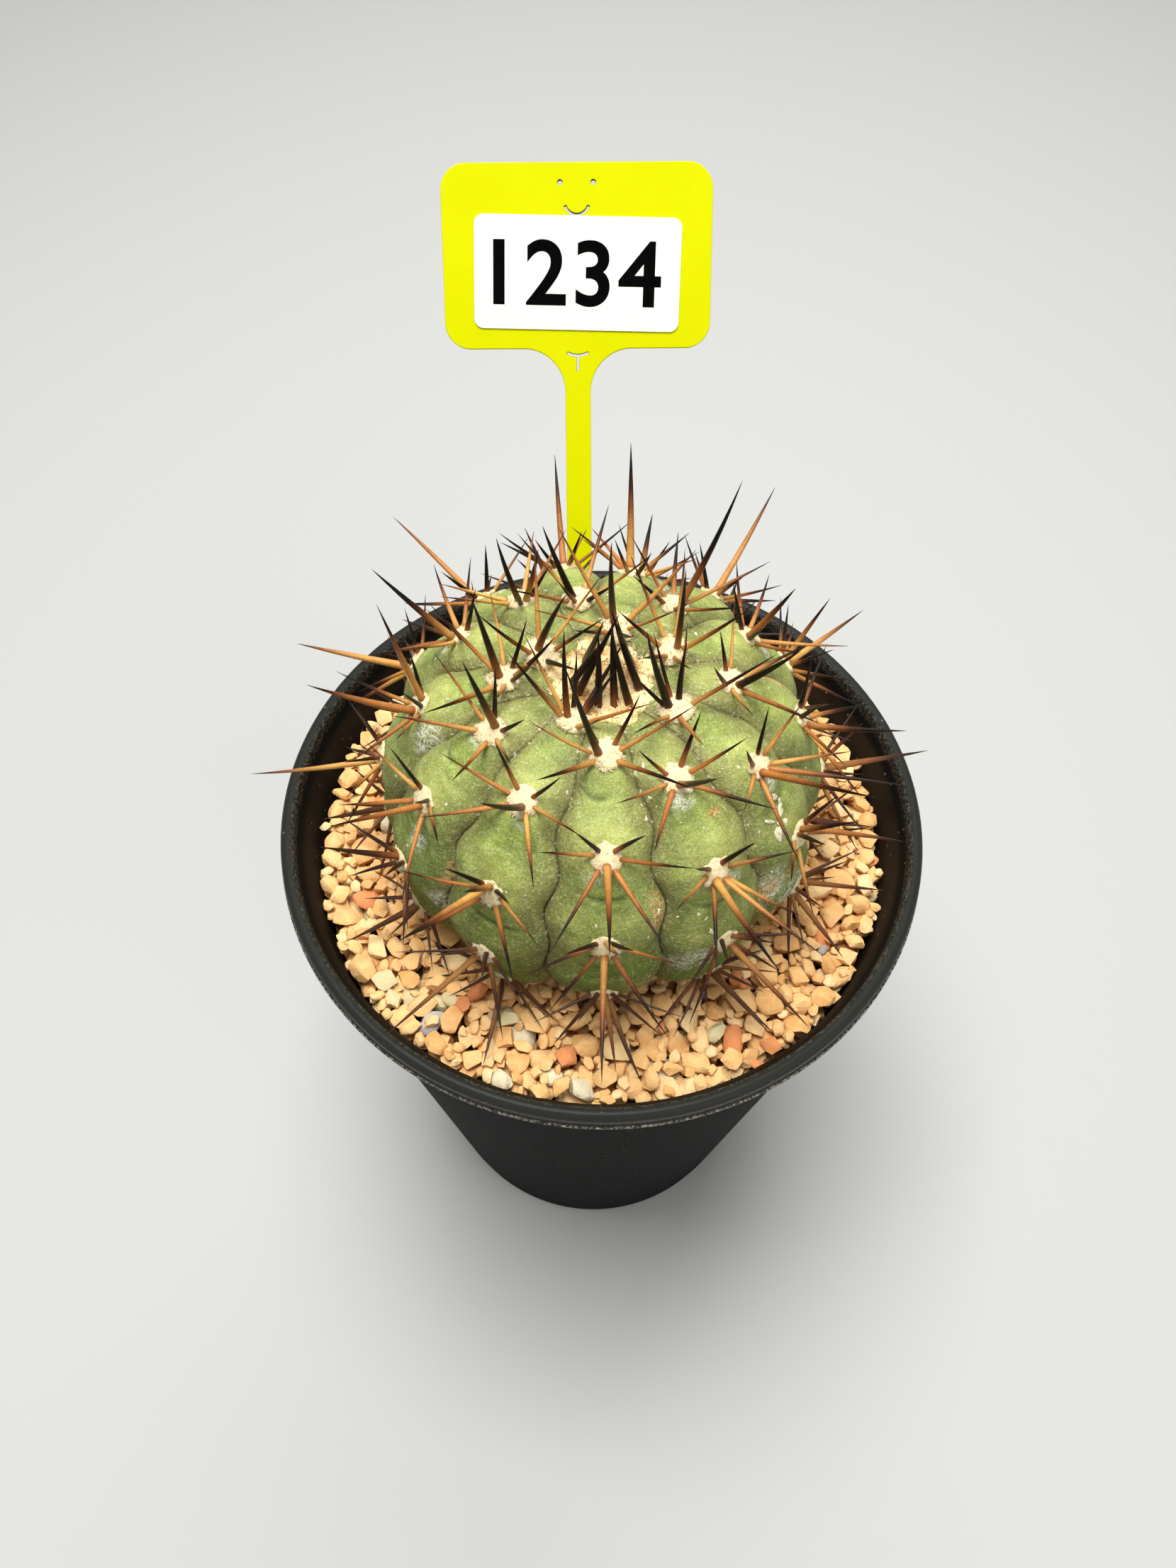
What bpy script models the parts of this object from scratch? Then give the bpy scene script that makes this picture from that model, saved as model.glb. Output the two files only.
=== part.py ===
"""Copiapoa cactus in its nursery pot, with grit on the soil and a plant label stuck in behind it.

Metres, +Z up. The origin is the middle of the pot's underside, and -Y is the front.
"""

import math
import random

import bmesh
import bpy
from mathutils import Matrix, Vector, geometry

# Pot, a tall injection-moulded nursery pot
POT_HEIGHT = 0.117
RIM_RADIUS = 0.050
BASE_RADIUS = 0.0338
LIP_HEIGHT = 0.0034
LIP_INNER_RADIUS = 0.0476
WALL_TOP_RADIUS = 0.0474
WALL = 0.0012
FLOOR = 0.0016
FLOOR_CORNER = 0.001
FOOT_CORNER = 0.0011
LIP_DRAFT = 0.0003
DRAIN_COUNT = 8
DRAIN_RADIUS = 0.004
DRAIN_CIRCLE = 0.0225
POT_SIDES = 56

# Grit that fills the pot, its stones drawn a little larger than life
GAP = 0.0003
GRIT_TOP = 0.107
STONE_SPACING = 0.0050
STONE_RISE = 0.0017
STONE_EDGE = 0.0011
STONE_TILT = 0.20
STONE_TRIES = 9000
SOCKET_SIDES = 39
SOCKET_MOUTH = 0.012
SOCKET_GAP = 0.0004
SLOT_GAP = 0.00036

# Cactus body, measured on the crests of its ribs, heights above the grit
PLANT_CENTRE = Vector((-0.0004, -0.0011, GRIT_TOP))
RIBS = 13
BODY_RADIUS = 0.0324
WIDEST_HEIGHT = 0.0182
UPPER_RISE = 0.0263
LOWER_DROP = 0.0247
SHOULDER_POWER = 0.65
CROWN_DIP = 0.0048
CROWN_DIP_RADIUS = 0.0078
ROOT_TURN = math.radians(159.0)
ROOT_LENGTH = 0.036
ROOT_TIP_RADIUS = 0.003
GROOVE_DEPTH = 0.0030
TUBERCLE_DEPTH = 0.0008
GROOVE_SWING = 0.030
GROOVE_CALM = 0.55
FIRST_RIB = math.radians(1.4)
FRONT_SPREAD = 0.095

# Areoles follow each rib at even steps, each rib 5/13 of a step later than the one before it
AREOLE_STEP = 0.0134
AREOLE_START = 0.0133
AREOLE_BACK_SHIFT = 0.0027
AREOLE_FIRST_ARC = 0.0066
AREOLE_LOWEST = 0.0045
PAD_LENGTH = 0.0047
PAD_WIDTH = 0.0042
PAD_HEIGHT = 0.0011
WOOL_RADIUS = 0.0066
WOOL_HEIGHT = 0.0016

# Spines. The plan of the radial ones: degrees round from up the rib, degrees of rise from the skin, length
SPINE_RADIUS = 0.00058
RADIAL_RADIUS = 0.00040
SPINE_ROOT_DEPTH = 0.0004
SPINE_ROOT_SPREAD = 0.0007
SPINE_GRIT_CLEARANCE = 0.0026
RADIAL_PLAN = ((-138, 26, 0.0124), (138, 26, 0.0124), (-84, 30, 0.0108), (84, 30, 0.0108))
CENTRAL_RISE = 76
CENTRAL_DROOP = 12
CENTRAL_LENGTH = 0.0180
# Central spines seen from the front: rib and mm from the crown, then degrees round, rise and length
SEEN_CENTRALS = {
    (0, 13): (-109, 77, 0.0202), (0, 27): (178, 77, 0.0205), (1, 19): (-156, 76, 0.0159),
    (2, 11): (-45, 78, 0.0160), (2, 25): (-128, 71, 0.0205), (2, 38): (53, 81, 0.0147),
    (3, 18): (-127, 69, 0.0147), (3, 31): (-119, 64, 0.0146), (4, 11): (-143, 80, 0.0177),
    (4, 24): (-42, 62, 0.0135), (6, 9): (145, 85, 0.0205), (7, 14): (85, 72, 0.0156),
    (8, 19): (45, 73, 0.0135), (9, 10): (165, 89, 0.0146), (9, 23): (121, 77, 0.0162),
    (10, 14): (166, 86, 0.0174), (10, 27): (124, 73, 0.0164), (11, 18): (6, 84, 0.0166),
    (11, 31): (125, 83, 0.0152), (11, 44): (-22, 59, 0.0135), (12, 8): (-142, 74, 0.0160),
    (12, 22): (148, 83, 0.0171), (12, 35): (-56, 80, 0.0171),
}
CROWN_SPINES = 9
CROWN_SPINE_RADIUS = 0.00062
CROWN_RING = 0.0042
CROWN_RING_WIDTH = 0.0016
CROWN_MEETING_WIDTH = 0.0013
CROWN_MEETING_HEIGHT = 0.0128

# Plant label, a flat plastic stake that leans back
LABEL_FOOT = Vector((-0.0042, 0.0424, POT_HEIGHT))
LABEL_LEAN = math.radians(40.0)
LABEL_TURN = math.radians(1.2)
LABEL_THICKNESS = 0.0012
PLATE_WIDTH = 0.0434
PLATE_BOTTOM = 0.0412
PLATE_TOP = 0.0689
PLATE_CORNER = 0.0040
NECK_FILLET = 0.0068
STEM_WIDTH = 0.0042
STEM_END = -0.0380
STEM_POINT = 0.0060
PINHOLE_HEIGHT = 0.0660
PINHOLE_SPACING = 0.0053
PINHOLE_RADIUS = 0.0004
CURVED_SLOT_HEIGHT = 0.0633
CURVED_SLOT_RADIUS = 0.0020
TIE_SLOT_HEIGHT = 0.0401
TIE_SLOT_RADIUS = 0.0040
TIE_SLOT_SPREAD = 26.0
TIE_SLOT_DROP = 0.0024
SLOT_WIDTH = 0.00042
STAKE_SLOT_LENGTH = 0.034
CARD_SIZE = (0.0334, 0.01715)
CARD_CENTRE = 0.05257
CARD_CORNER = 0.0015
CARD_THICKNESS = 0.0004
CARD_TURN = math.radians(-1.5)

# Mesh of the body: six columns of faces on each rib, drawn together at its grooves
COLUMN_PLACES = (-0.5, -0.41, -0.21, 0.0, 0.21, 0.41)
MESH_RINGS = 27
ROOT_RINGS = 3
MERIDIAN_STEPS = 400


def clear_scene():
    for old in list(bpy.data.objects):
        bpy.data.objects.remove(old, do_unlink=True)


def new_collection(name):
    made = bpy.data.collections.new(name)
    bpy.context.scene.collection.children.link(made)
    return made


def add_object(name, data, collection):
    made = bpy.data.objects.new(name, data)
    collection.objects.link(made)
    return made


def give_material(obj, name, colour, roughness):
    made = bpy.data.materials.new(name)
    made.use_nodes = True
    shader = made.node_tree.nodes["Principled BSDF"]
    shader.inputs["Base Color"].default_value = (*colour, 1.0)
    shader.inputs["Roughness"].default_value = roughness
    shader.inputs["Metallic"].default_value = 0.0
    obj.data.materials.clear()
    obj.data.materials.append(made)
    made.diffuse_color = (*colour, 1.0)
    if obj.type == "MESH":
        obj.data.polygons.foreach_set("material_index", [0] * len(obj.data.polygons))


def mesh_from(bm, name):
    bmesh.ops.recalc_face_normals(bm, faces=bm.faces)
    mesh = bpy.data.meshes.new(name)
    bm.to_mesh(mesh)
    bm.free()
    return mesh


def apply_boolean(obj, operation, solver, other=None, group=None):
    """Runs one Boolean on obj and keeps its result as the mesh."""
    step = obj.modifiers.new("boolean", "BOOLEAN")
    step.operation = operation
    step.solver = solver
    if group:
        step.operand_type = "COLLECTION"
        step.collection = group
    else:
        step.object = other
    bpy.context.view_layer.update()
    graph = bpy.context.evaluated_depsgraph_get()
    result = bpy.data.meshes.new_from_object(obj.evaluated_get(graph))
    obj.modifiers.clear()
    obj.data = result


def triangle_count(obj):
    return sum(len(face.vertices) - 2 for face in obj.data.polygons)


def remove_all(collection):
    for obj in list(collection.objects):
        bpy.data.objects.remove(obj, do_unlink=True)


def hide_helper(obj):
    obj.hide_render = True
    obj.display_type = "WIRE"


def turned(name, profile, collection, sides):
    """A profile of (radius, height) points turned round Z. It runs down its outer side."""
    mesh = bpy.data.meshes.new(name)
    edges = [(i, i + 1) for i in range(len(profile) - 1)]
    mesh.from_pydata([(r, 0.0, z) for r, z in profile], edges, [])
    obj = add_object(name, mesh, collection)
    screw = obj.modifiers.new("screw", "SCREW")
    screw.steps = sides
    screw.render_steps = sides
    screw.use_merge_vertices = True
    screw.merge_threshold = 0.00001
    return obj


# Pot


def wall_radius(height):
    """Outer radius of the tapered wall."""
    top = POT_HEIGHT - LIP_HEIGHT
    return BASE_RADIUS + (WALL_TOP_RADIUS - BASE_RADIUS) * height / top


def arc_points(centre, radius, start, end, count):
    """Points of an arc in the profile plane, angles in degrees."""
    angles = [math.radians(start + (end - start) * i / count) for i in range(count + 1)]
    return [(centre[0] + radius * math.cos(a), centre[1] + radius * math.sin(a)) for a in angles]


def pot_profile():
    """Inside up, over the rolled lip, down the outside and in under the floor."""
    lip = RIM_RADIUS - LIP_INNER_RADIUS
    lip_bottom = POT_HEIGHT - LIP_HEIGHT
    round_centre = (RIM_RADIUS - lip / 2, POT_HEIGHT - lip / 2)
    floor_radius = wall_radius(FLOOR) - WALL
    points = [(0.0, FLOOR), (floor_radius - FLOOR_CORNER, FLOOR), (floor_radius, FLOOR + FLOOR_CORNER)]
    points.append((WALL_TOP_RADIUS - WALL, lip_bottom))
    points += arc_points(round_centre, lip / 2, 180.0, 0.0, 5)
    points += [(RIM_RADIUS - LIP_DRAFT, lip_bottom), (WALL_TOP_RADIUS, lip_bottom)]
    points += [(BASE_RADIUS, FOOT_CORNER), (BASE_RADIUS - FOOT_CORNER, 0.0), (0.0, 0.0)]
    return points


def make_pot(parts, cutters):
    pot = turned("pot", pot_profile(), parts, POT_SIDES)
    for i in range(DRAIN_COUNT):
        angle = 2 * math.pi * (i + 0.5) / DRAIN_COUNT
        bm = bmesh.new()
        place = Matrix.Translation((DRAIN_CIRCLE * math.cos(angle), DRAIN_CIRCLE * math.sin(angle), 0.0))
        size = {"radius1": DRAIN_RADIUS, "radius2": DRAIN_RADIUS, "depth": 6 * FLOOR}
        bmesh.ops.create_cone(bm, cap_ends=True, segments=14, matrix=place, **size)
        hide_helper(add_object(f"drain_cutter_{i}", mesh_from(bm, "drain"), cutters))
    apply_boolean(pot, "DIFFERENCE", "MANIFOLD", group=cutters)
    remove_all(cutters)
    pot.data.shade_smooth()
    pot.data.set_sharp_from_angle(angle=math.radians(35))
    give_material(pot, "black_polypropylene", (0.012, 0.012, 0.013), 0.45)
    return pot


# Cactus body


def rib_angle(rib):
    """Azimuth of a rib crest from the front, wider apart at the front of the plant."""
    turn = 2 * math.pi * rib / RIBS
    return FIRST_RIB + turn + FRONT_SPREAD * math.sin(turn)


def meridian_points(count):
    """(radius, height) along a rib crest, from the crown over the shoulder and down to the root tip."""
    points = []
    for i in range(count + 1):
        turn = ROOT_TURN * i / count
        radius = BODY_RADIUS * math.sin(turn) ** SHOULDER_POWER
        rise = UPPER_RISE if turn < math.pi / 2 else LOWER_DROP
        dip = CROWN_DIP * math.exp(-((radius / CROWN_DIP_RADIUS) ** 2)) if turn < math.pi / 2 else 0.0
        points.append((radius, WIDEST_HEIGHT + rise * math.cos(turn) - dip))
    neck_radius, neck_height = points[-1]
    for i in range(1, count // 4 + 1):
        share = i / (count // 4)
        radius = ROOT_TIP_RADIUS + (neck_radius - ROOT_TIP_RADIUS) * (1 - share) ** 1.4
        points.append((radius, neck_height - ROOT_LENGTH * share))
    return points


def arc_lengths(points):
    lengths = [0.0]
    for a, b in zip(points, points[1:]):
        lengths.append(lengths[-1] + math.dist(a, b))
    return lengths


MERIDIAN = meridian_points(MERIDIAN_STEPS)
ARCS = arc_lengths(MERIDIAN)
BODY_END = ARCS[MERIDIAN_STEPS]


def meridian(arc):
    """Radius, height and outward normal of the crest line at a length along it."""
    arc = min(max(arc, 0.0), ARCS[-1])
    low, high = 0, len(ARCS) - 1
    while high - low > 1:
        middle = (low + high) // 2
        if ARCS[middle] <= arc:
            low = middle
        else:
            high = middle
    share = (arc - ARCS[low]) / (ARCS[high] - ARCS[low])
    (r0, z0), (r1, z1) = MERIDIAN[low], MERIDIAN[high]
    length = math.dist((r0, z0), (r1, z1))
    normal = ((z0 - z1) / length, (r1 - r0) / length)
    return r0 + (r1 - r0) * share, z0 + (z1 - z0) * share, normal


def areole_start(rib):
    """Arc length of the reference areole of a rib."""
    later = (5 * rib % RIBS) / RIBS
    back = 1 - math.cos(2 * math.pi * rib / RIBS)
    return AREOLE_START + AREOLE_STEP * later + AREOLE_BACK_SHIFT * back


def areole_phase(arc, rib):
    """0 at an areole, rising to 1 at the next one down the rib."""
    return ((arc - areole_start(rib % RIBS)) / AREOLE_STEP) % 1.0


def fade_in(value, start, end):
    share = min(max((value - start) / (end - start), 0.0), 1.0)
    return share * share * (3 - 2 * share)


def rib_width_swing(arc, rib):
    """Sideways swing of the groove after a rib, which is narrow under an areole and wide above the next."""
    swell = [-math.cos(2 * math.pi * (areole_phase(arc, r) - 0.27)) for r in (rib, rib + 1)]
    strength = fade_in(arc, 0.006, 0.020) * (1 - GROOVE_CALM * fade_in(arc, 0.032, 0.046))
    return GROOVE_SWING * strength * (swell[0] - swell[1])


def skin(arc, rib, across):
    """A point of the skin: arc length from the crown, whole rib number, and -0.5 to 0.5 across that rib."""
    radius, height, normal = meridian(arc)
    side = rib_width_swing(arc, rib) if across > 0 else rib_width_swing(arc, rib - 1)
    angle = rib_angle(rib + across + side * (2 * abs(across)) ** 1.5)
    fullness = max(1 - (2 * abs(across)) ** 2.6, 0.0) ** 0.6
    above_soil = fade_in(height, -0.006, 0.0)
    groove = GROOVE_DEPTH * fade_in(arc, 0.002, 0.030) * above_soil
    chin = (0.5 + 0.5 * math.cos(2 * math.pi * (areole_phase(arc, rib) - 0.45))) ** 1.5
    tubercle = TUBERCLE_DEPTH * chin * fade_in(arc, 0.006, 0.016) * above_soil
    sink = groove * (1 - fullness) + tubercle * fullness
    radius -= sink * normal[0]
    height -= sink * normal[1]
    return PLANT_CENTRE + Vector((radius * math.sin(angle), -radius * math.cos(angle), height))


def ring_arc(share):
    """Arc length of a mesh ring: close rings on the ribbed body, wide ones on the root."""
    body_share = (MESH_RINGS - ROOT_RINGS) / MESH_RINGS
    if share <= body_share:
        return BODY_END * share / body_share
    return BODY_END + (ARCS[-1] - BODY_END) * (share - body_share) / (1 - body_share)


def make_body(parts):
    """A sphere whose rings and columns are moved onto the ribbed skin."""
    columns = RIBS * len(COLUMN_PLACES)
    bm = bmesh.new()
    bmesh.ops.create_uvsphere(bm, u_segments=columns, v_segments=MESH_RINGS, radius=1.0)
    for vert in bm.verts:
        polar = math.acos(max(-1.0, min(1.0, vert.co.z)))
        arc = ring_arc(polar / math.pi)
        column = round(math.atan2(vert.co.y, vert.co.x) / (2 * math.pi) * columns) % columns
        rib, place = divmod(column, len(COLUMN_PLACES))
        at_pole = polar < 1e-4 or polar > math.pi - 1e-4
        if at_pole:
            vert.co = PLANT_CENTRE + Vector((0.0, 0.0, meridian(arc)[1]))
        else:
            vert.co = skin(arc, rib, COLUMN_PLACES[place])
    return add_object("cactus", mesh_from(bm, "cactus"), parts)


# Areoles and spines


def areole_frame(arc, rib):
    """Centre, outward normal, direction up the rib and direction across it."""
    centre = skin(arc, rib, 0.0)
    step = 0.0004
    up = (skin(arc - step, rib, 0.0) - skin(arc + step, rib, 0.0)).normalized()
    across = (skin(arc, rib, 0.06) - skin(arc, rib, -0.06)).normalized()
    normal = up.cross(across).normalized()
    if normal.dot(centre - PLANT_CENTRE - Vector((0.0, 0.0, WIDEST_HEIGHT))) < 0:
        normal.negate()
    return centre, normal, up, across


def areoles():
    """(arc, rib) of every felted areole above the grit."""
    found = []
    for rib in range(RIBS):
        arc = areole_start(rib)
        while arc - AREOLE_STEP > AREOLE_FIRST_ARC:
            arc -= AREOLE_STEP
        while meridian(arc)[1] > AREOLE_LOWEST and arc < BODY_END:
            found.append((arc, rib))
            arc += AREOLE_STEP
    return found


def kept_clear(root, direction, length):
    """Lifts a spine off the grit, and shortens it where it would reach the pot or the label."""
    lowest = GRIT_TOP + SPINE_GRIT_CLEARANCE
    if (root + direction * length).z < lowest:
        rise = (lowest - root.z) / length
        flat = Vector((direction.x, direction.y, 0.0)).normalized()
        direction = (flat * math.sqrt(max(1 - rise * rise, 0.01)) + Vector((0.0, 0.0, rise))).normalized()
    while length > 0.003:
        tip = root + direction * length
        inside_pot = tip.z > POT_HEIGHT + 0.002 or math.hypot(tip.x, tip.y) < wall_radius(GRIT_TOP) - 0.0028
        stake = LABEL_FOOT.y + (tip.z - POT_HEIGHT) * math.tan(LABEL_LEAN)
        if inside_pot and (abs(tip.x - LABEL_FOOT.x) > 0.0045 or tip.y < stake - 0.0028):
            break
        length *= 0.94
    return direction, length


def central_plan(arc, rib):
    """Degrees round from up the rib, rise and length of a central spine, and how much these may vary."""
    seen = SEEN_CENTRALS.get((rib, round(1000 * arc)))
    if seen:
        return (*seen, 0)
    return 180, CENTRAL_RISE - CENTRAL_DROOP * fade_in(arc, 0.030, 0.042), CENTRAL_LENGTH, 1


def areole_spines(arc, rib, draw):
    """(root, direction, length, radius) of an areole's spines: a long central one, then the radial ones."""
    centre, normal, up, across = areole_frame(arc, rib)
    youth = 1 - fade_in(arc, 0.007, 0.020)
    plan = (central_plan(arc, rib), *((*radial, 1) for radial in RADIAL_PLAN))
    spines = []
    for index, (clock, rise, length, varies) in enumerate(plan):
        clock_sway, rise_sway, growth = draw.uniform(-11, 11), draw.uniform(-7, 7), draw.uniform(0.86, 1.12)
        clock = math.radians(clock + varies * clock_sway * (1 if index else 5))
        rise = math.radians(rise + varies * rise_sway + (14 * youth if index else 0))
        length *= (growth if varies else 1) * (1 + 0.20 * youth if index else 1)
        outward = up * math.cos(clock) + across * math.sin(clock)
        direction = (outward * math.cos(rise) + normal * math.sin(rise)).normalized()
        root = centre - normal * SPINE_ROOT_DEPTH + outward * SPINE_ROOT_SPREAD
        radius = RADIAL_RADIUS if index else SPINE_RADIUS
        spines.append((root, *kept_clear(root, direction, length), radius))
    return spines


def crown_spines(draw):
    """Young spines on a ring in the wool, which meet above the growing point and pass one another."""
    spines = []
    for i in range(CROWN_SPINES):
        angle = math.radians(137.5) * i + 0.4
        ring = CROWN_RING + CROWN_RING_WIDTH * (0.618 * i % 1.0)
        away = Vector((math.sin(angle), -math.cos(angle), 0.0))
        root = PLANT_CENTRE + away * ring + Vector((0.0, 0.0, meridian(ring)[1] - 0.0010))
        aside = Vector((draw.uniform(-1, 1), draw.uniform(-1, 1), 0.0)) * CROWN_MEETING_WIDTH
        meeting = PLANT_CENTRE + aside + Vector((0.0, 0.0, meridian(0.0)[1] + CROWN_MEETING_HEIGHT))
        reach = meeting - root
        length = reach.length * draw.uniform(0.96, 1.34)
        spines.append((root, reach.normalized(), length, CROWN_SPINE_RADIUS))
    return spines


def turned_to(direction):
    return direction.to_track_quat("Z", "Y").to_matrix().to_4x4()


def add_spine(root, direction, length, radius, index, collection):
    bm = bmesh.new()
    place = Matrix.Translation(root + direction * length / 2) @ turned_to(direction)
    size = {"radius1": radius, "radius2": 0.0, "depth": length}
    bmesh.ops.create_cone(bm, cap_ends=True, segments=3, matrix=place, **size)
    bmesh.ops.remove_doubles(bm, verts=bm.verts, dist=1e-6)
    add_object(f"spine_{index}", mesh_from(bm, "spine"), collection)


def add_pad(centre, normal, up, size, detail, index, collection):
    """A felt cushion: a squashed ball, sunk by half."""
    across = normal.cross(up).normalized()
    turn = Matrix((across, up, normal)).transposed().to_4x4()
    place = Matrix.Translation(centre) @ turn @ Matrix.Diagonal((*size, 1.0))
    bm = bmesh.new()
    bmesh.ops.create_icosphere(bm, subdivisions=detail, radius=1.0, matrix=place)
    add_object(f"pad_{index}", mesh_from(bm, "pad"), collection)


def make_cactus(parts, repeats):
    cactus = make_body(parts)
    draw = random.Random(13)
    spines = []
    for index, (arc, rib) in enumerate(areoles()):
        centre, normal, up, _ = areole_frame(arc, rib)
        add_pad(centre, normal, up, (PAD_WIDTH / 2, PAD_LENGTH / 2, PAD_HEIGHT), 1, index, repeats)
        spines += areole_spines(arc, rib, draw)
    spines += crown_spines(draw)
    crown = PLANT_CENTRE + Vector((0.0, 0.0, meridian(0.0)[1]))
    wool_size = (WOOL_RADIUS, WOOL_RADIUS, WOOL_HEIGHT)
    add_pad(crown, Vector((0, 0, 1)), Vector((0, 1, 0)), wool_size, 2, "crown", repeats)
    for index, (root, direction, length, radius) in enumerate(spines):
        add_spine(root, direction, length, radius, index, repeats)
    apply_boolean(cactus, "UNION", "MANIFOLD", group=repeats)
    remove_all(repeats)
    give_material(cactus, "green_skin", (0.16, 0.25, 0.09), 0.6)
    print("areoles", len(areoles()), "spines", len(spines), "triangles", triangle_count(cactus))
    return cactus


# Grit


def stone_places(draw):
    """Even random places over the whole top, none nearer to another than the spacing."""
    found = []
    for _ in range(STONE_TRIES):
        angle = draw.uniform(0, 2 * math.pi)
        radius = (RIM_RADIUS + 2 * STONE_SPACING) * math.sqrt(draw.random())
        place = Vector((radius * math.cos(angle), radius * math.sin(angle)))
        if all((place - other).length > STONE_SPACING for other in found):
            found.append(place)
    return found


def stone_cells(places):
    """One outline for each stone: the middles of the triangles that meet at its place, in order round it."""
    _, _, triangles, *_ = geometry.delaunay_2d_cdt(places, [], [], 0, 1e-6)
    middles = [sum((places[i] for i in corners), Vector((0.0, 0.0))) / 3 for corners in triangles]
    around = {}
    for index, corners in enumerate(triangles):
        for i in corners:
            around.setdefault(i, []).append(index)
    cells = []
    for i, found in around.items():
        if places[i].length < RIM_RADIUS + 0.5 * STONE_SPACING:
            found.sort(key=lambda t: math.atan2(*(middles[t] - places[i]).yx))
            cells.append(found)
    return middles, cells


def cobbled_block(name, draw, collection):
    """A block whose top is stones: every cell of it is inset, raised and tilted."""
    middles, cells = stone_cells(stone_places(draw))
    bm = bmesh.new()
    verts = [bm.verts.new((m.x, m.y, GRIT_TOP - STONE_RISE / 2)) for m in middles]
    stones = [bm.faces.new([verts[t] for t in cell]) for cell in cells]
    bmesh.ops.delete(bm, geom=[v for v in verts if not v.link_faces], context="VERTS")
    for stone in stones:
        rise = STONE_RISE * draw.uniform(0.7, 1.2)
        edge = STONE_EDGE * draw.uniform(0.8, 1.2)
        bmesh.ops.inset_individual(bm, faces=[stone], thickness=edge, depth=rise)
        middle = stone.calc_center_median()
        tilt = Vector((draw.uniform(-1, 1), draw.uniform(-1, 1), 0.0)) * STONE_TILT
        for vert in stone.verts:
            vert.co.z += tilt.dot(vert.co - middle)
    rim = [edge for edge in bm.edges if edge.is_boundary]
    walls = bmesh.ops.extrude_edge_only(bm, edges=rim)["geom"]
    for vert in walls:
        if isinstance(vert, bmesh.types.BMVert):
            vert.co.z = -0.01
    bmesh.ops.holes_fill(bm, edges=[edge for edge in bm.edges if edge.is_boundary])
    bmesh.ops.triangulate(bm, faces=bm.faces)
    return add_object(name, mesh_from(bm, name), collection)


def grit_profile(top, gap):
    """Outline of what lies inside the pot, up to a height."""
    floor = FLOOR + gap
    return [
        (0.0, top),
        (wall_radius(top) - WALL - gap, top),
        (wall_radius(floor + 0.001) - WALL - gap, floor + 0.001),
        (wall_radius(floor) - WALL - gap - 0.001, floor),
        (0.0, floor),
    ]


def make_grit(parts, cutters):
    """The filling of the pot, with a cobbled top, a socket for the plant and a slot for the label."""
    grit = turned("grit", grit_profile(GRIT_TOP + 0.006, GAP), parts, POT_SIDES)
    block = cobbled_block("grit_stones", random.Random(7), cutters)
    hide_helper(block)
    apply_boolean(grit, "INTERSECT", "MANIFOLD", other=block)
    socket = turned("plant_socket", socket_profile(), cutters, SOCKET_SIDES)
    socket.location = PLANT_CENTRE
    hide_helper(socket)
    apply_boolean(grit, "DIFFERENCE", "MANIFOLD", other=socket)
    slot = stake_cutter(cutters)
    apply_boolean(grit, "DIFFERENCE", "MANIFOLD", other=slot)
    remove_all(cutters)
    give_material(grit, "tan_grit", (0.62, 0.42, 0.23), 0.85)
    print("grit triangles", triangle_count(grit))
    return grit


def socket_profile():
    """The plant's own outline from just above the grit down to the root tip, with a small gap."""
    points = []
    arc = ARCS[-1]
    while meridian(arc)[1] < SOCKET_MOUTH - 0.004:
        radius, height, normal = meridian(arc)
        points.append((radius + SOCKET_GAP * normal[0], height + SOCKET_GAP * normal[1]))
        arc -= 0.004 if height > -0.010 else 0.011
    points += [(points[-1][0], SOCKET_MOUTH), (0.0, SOCKET_MOUTH)]
    points.reverse()
    bottom = points[-1][1] - SOCKET_GAP
    return points + [(ROOT_TIP_RADIUS, bottom), (0.0, bottom)]


# Plant label


def label_place():
    lean = Matrix.Rotation(math.pi / 2 - LABEL_LEAN, 4, "X")
    return Matrix.Translation(LABEL_FOOT) @ lean @ Matrix.Rotation(LABEL_TURN, 4, "Z")


def label_outline():
    """Counter-clockwise outline of the plate, its filleted neck and the pointed stem."""
    half, r, fillet = PLATE_WIDTH / 2, PLATE_CORNER, NECK_FILLET
    neck = STEM_WIDTH / 2
    right = [(0.0, STEM_END), (neck, STEM_END + STEM_POINT)]
    right += arc_points((neck + fillet, PLATE_BOTTOM - fillet), fillet, 180.0, 90.0, 6)
    right += arc_points((half - r, PLATE_BOTTOM + r), r, -90.0, 0.0, 5)
    right += arc_points((half - r, PLATE_TOP - r), r, 0.0, 90.0, 5)
    left = [(-x, y) for x, y in reversed(right[1:])]
    return right + left


def circle_outline(centre, radius, count):
    return arc_points(centre, radius, 0.0, 360.0 * (count - 1) / count, count - 1)


def arc_slot(centre, radius, start, end, width, count=6):
    """A slot of even width along an arc."""
    outer = arc_points(centre, radius + width / 2, start, end, count)
    inner = arc_points(centre, radius - width / 2, end, start, count)
    return outer + inner


def tie_slot():
    """A shallow curved slot with a short one hanging from its middle, for a tie."""
    half, radius, spread = SLOT_WIDTH / 2, TIE_SLOT_RADIUS, TIE_SLOT_SPREAD
    centre = (0.0, TIE_SLOT_HEIGHT + radius)
    stem = math.degrees(half / radius)
    end = TIE_SLOT_HEIGHT - TIE_SLOT_DROP
    points = arc_points(centre, radius - half, 270.0 - spread, 270.0 + spread, 4)
    points += arc_points(centre, radius + half, 270.0 + spread, 270.0 + stem, 2)
    points += [(half, end), (-half, end)]
    points += arc_points(centre, radius + half, 270.0 - stem, 270.0 - spread, 2)
    return points


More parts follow.
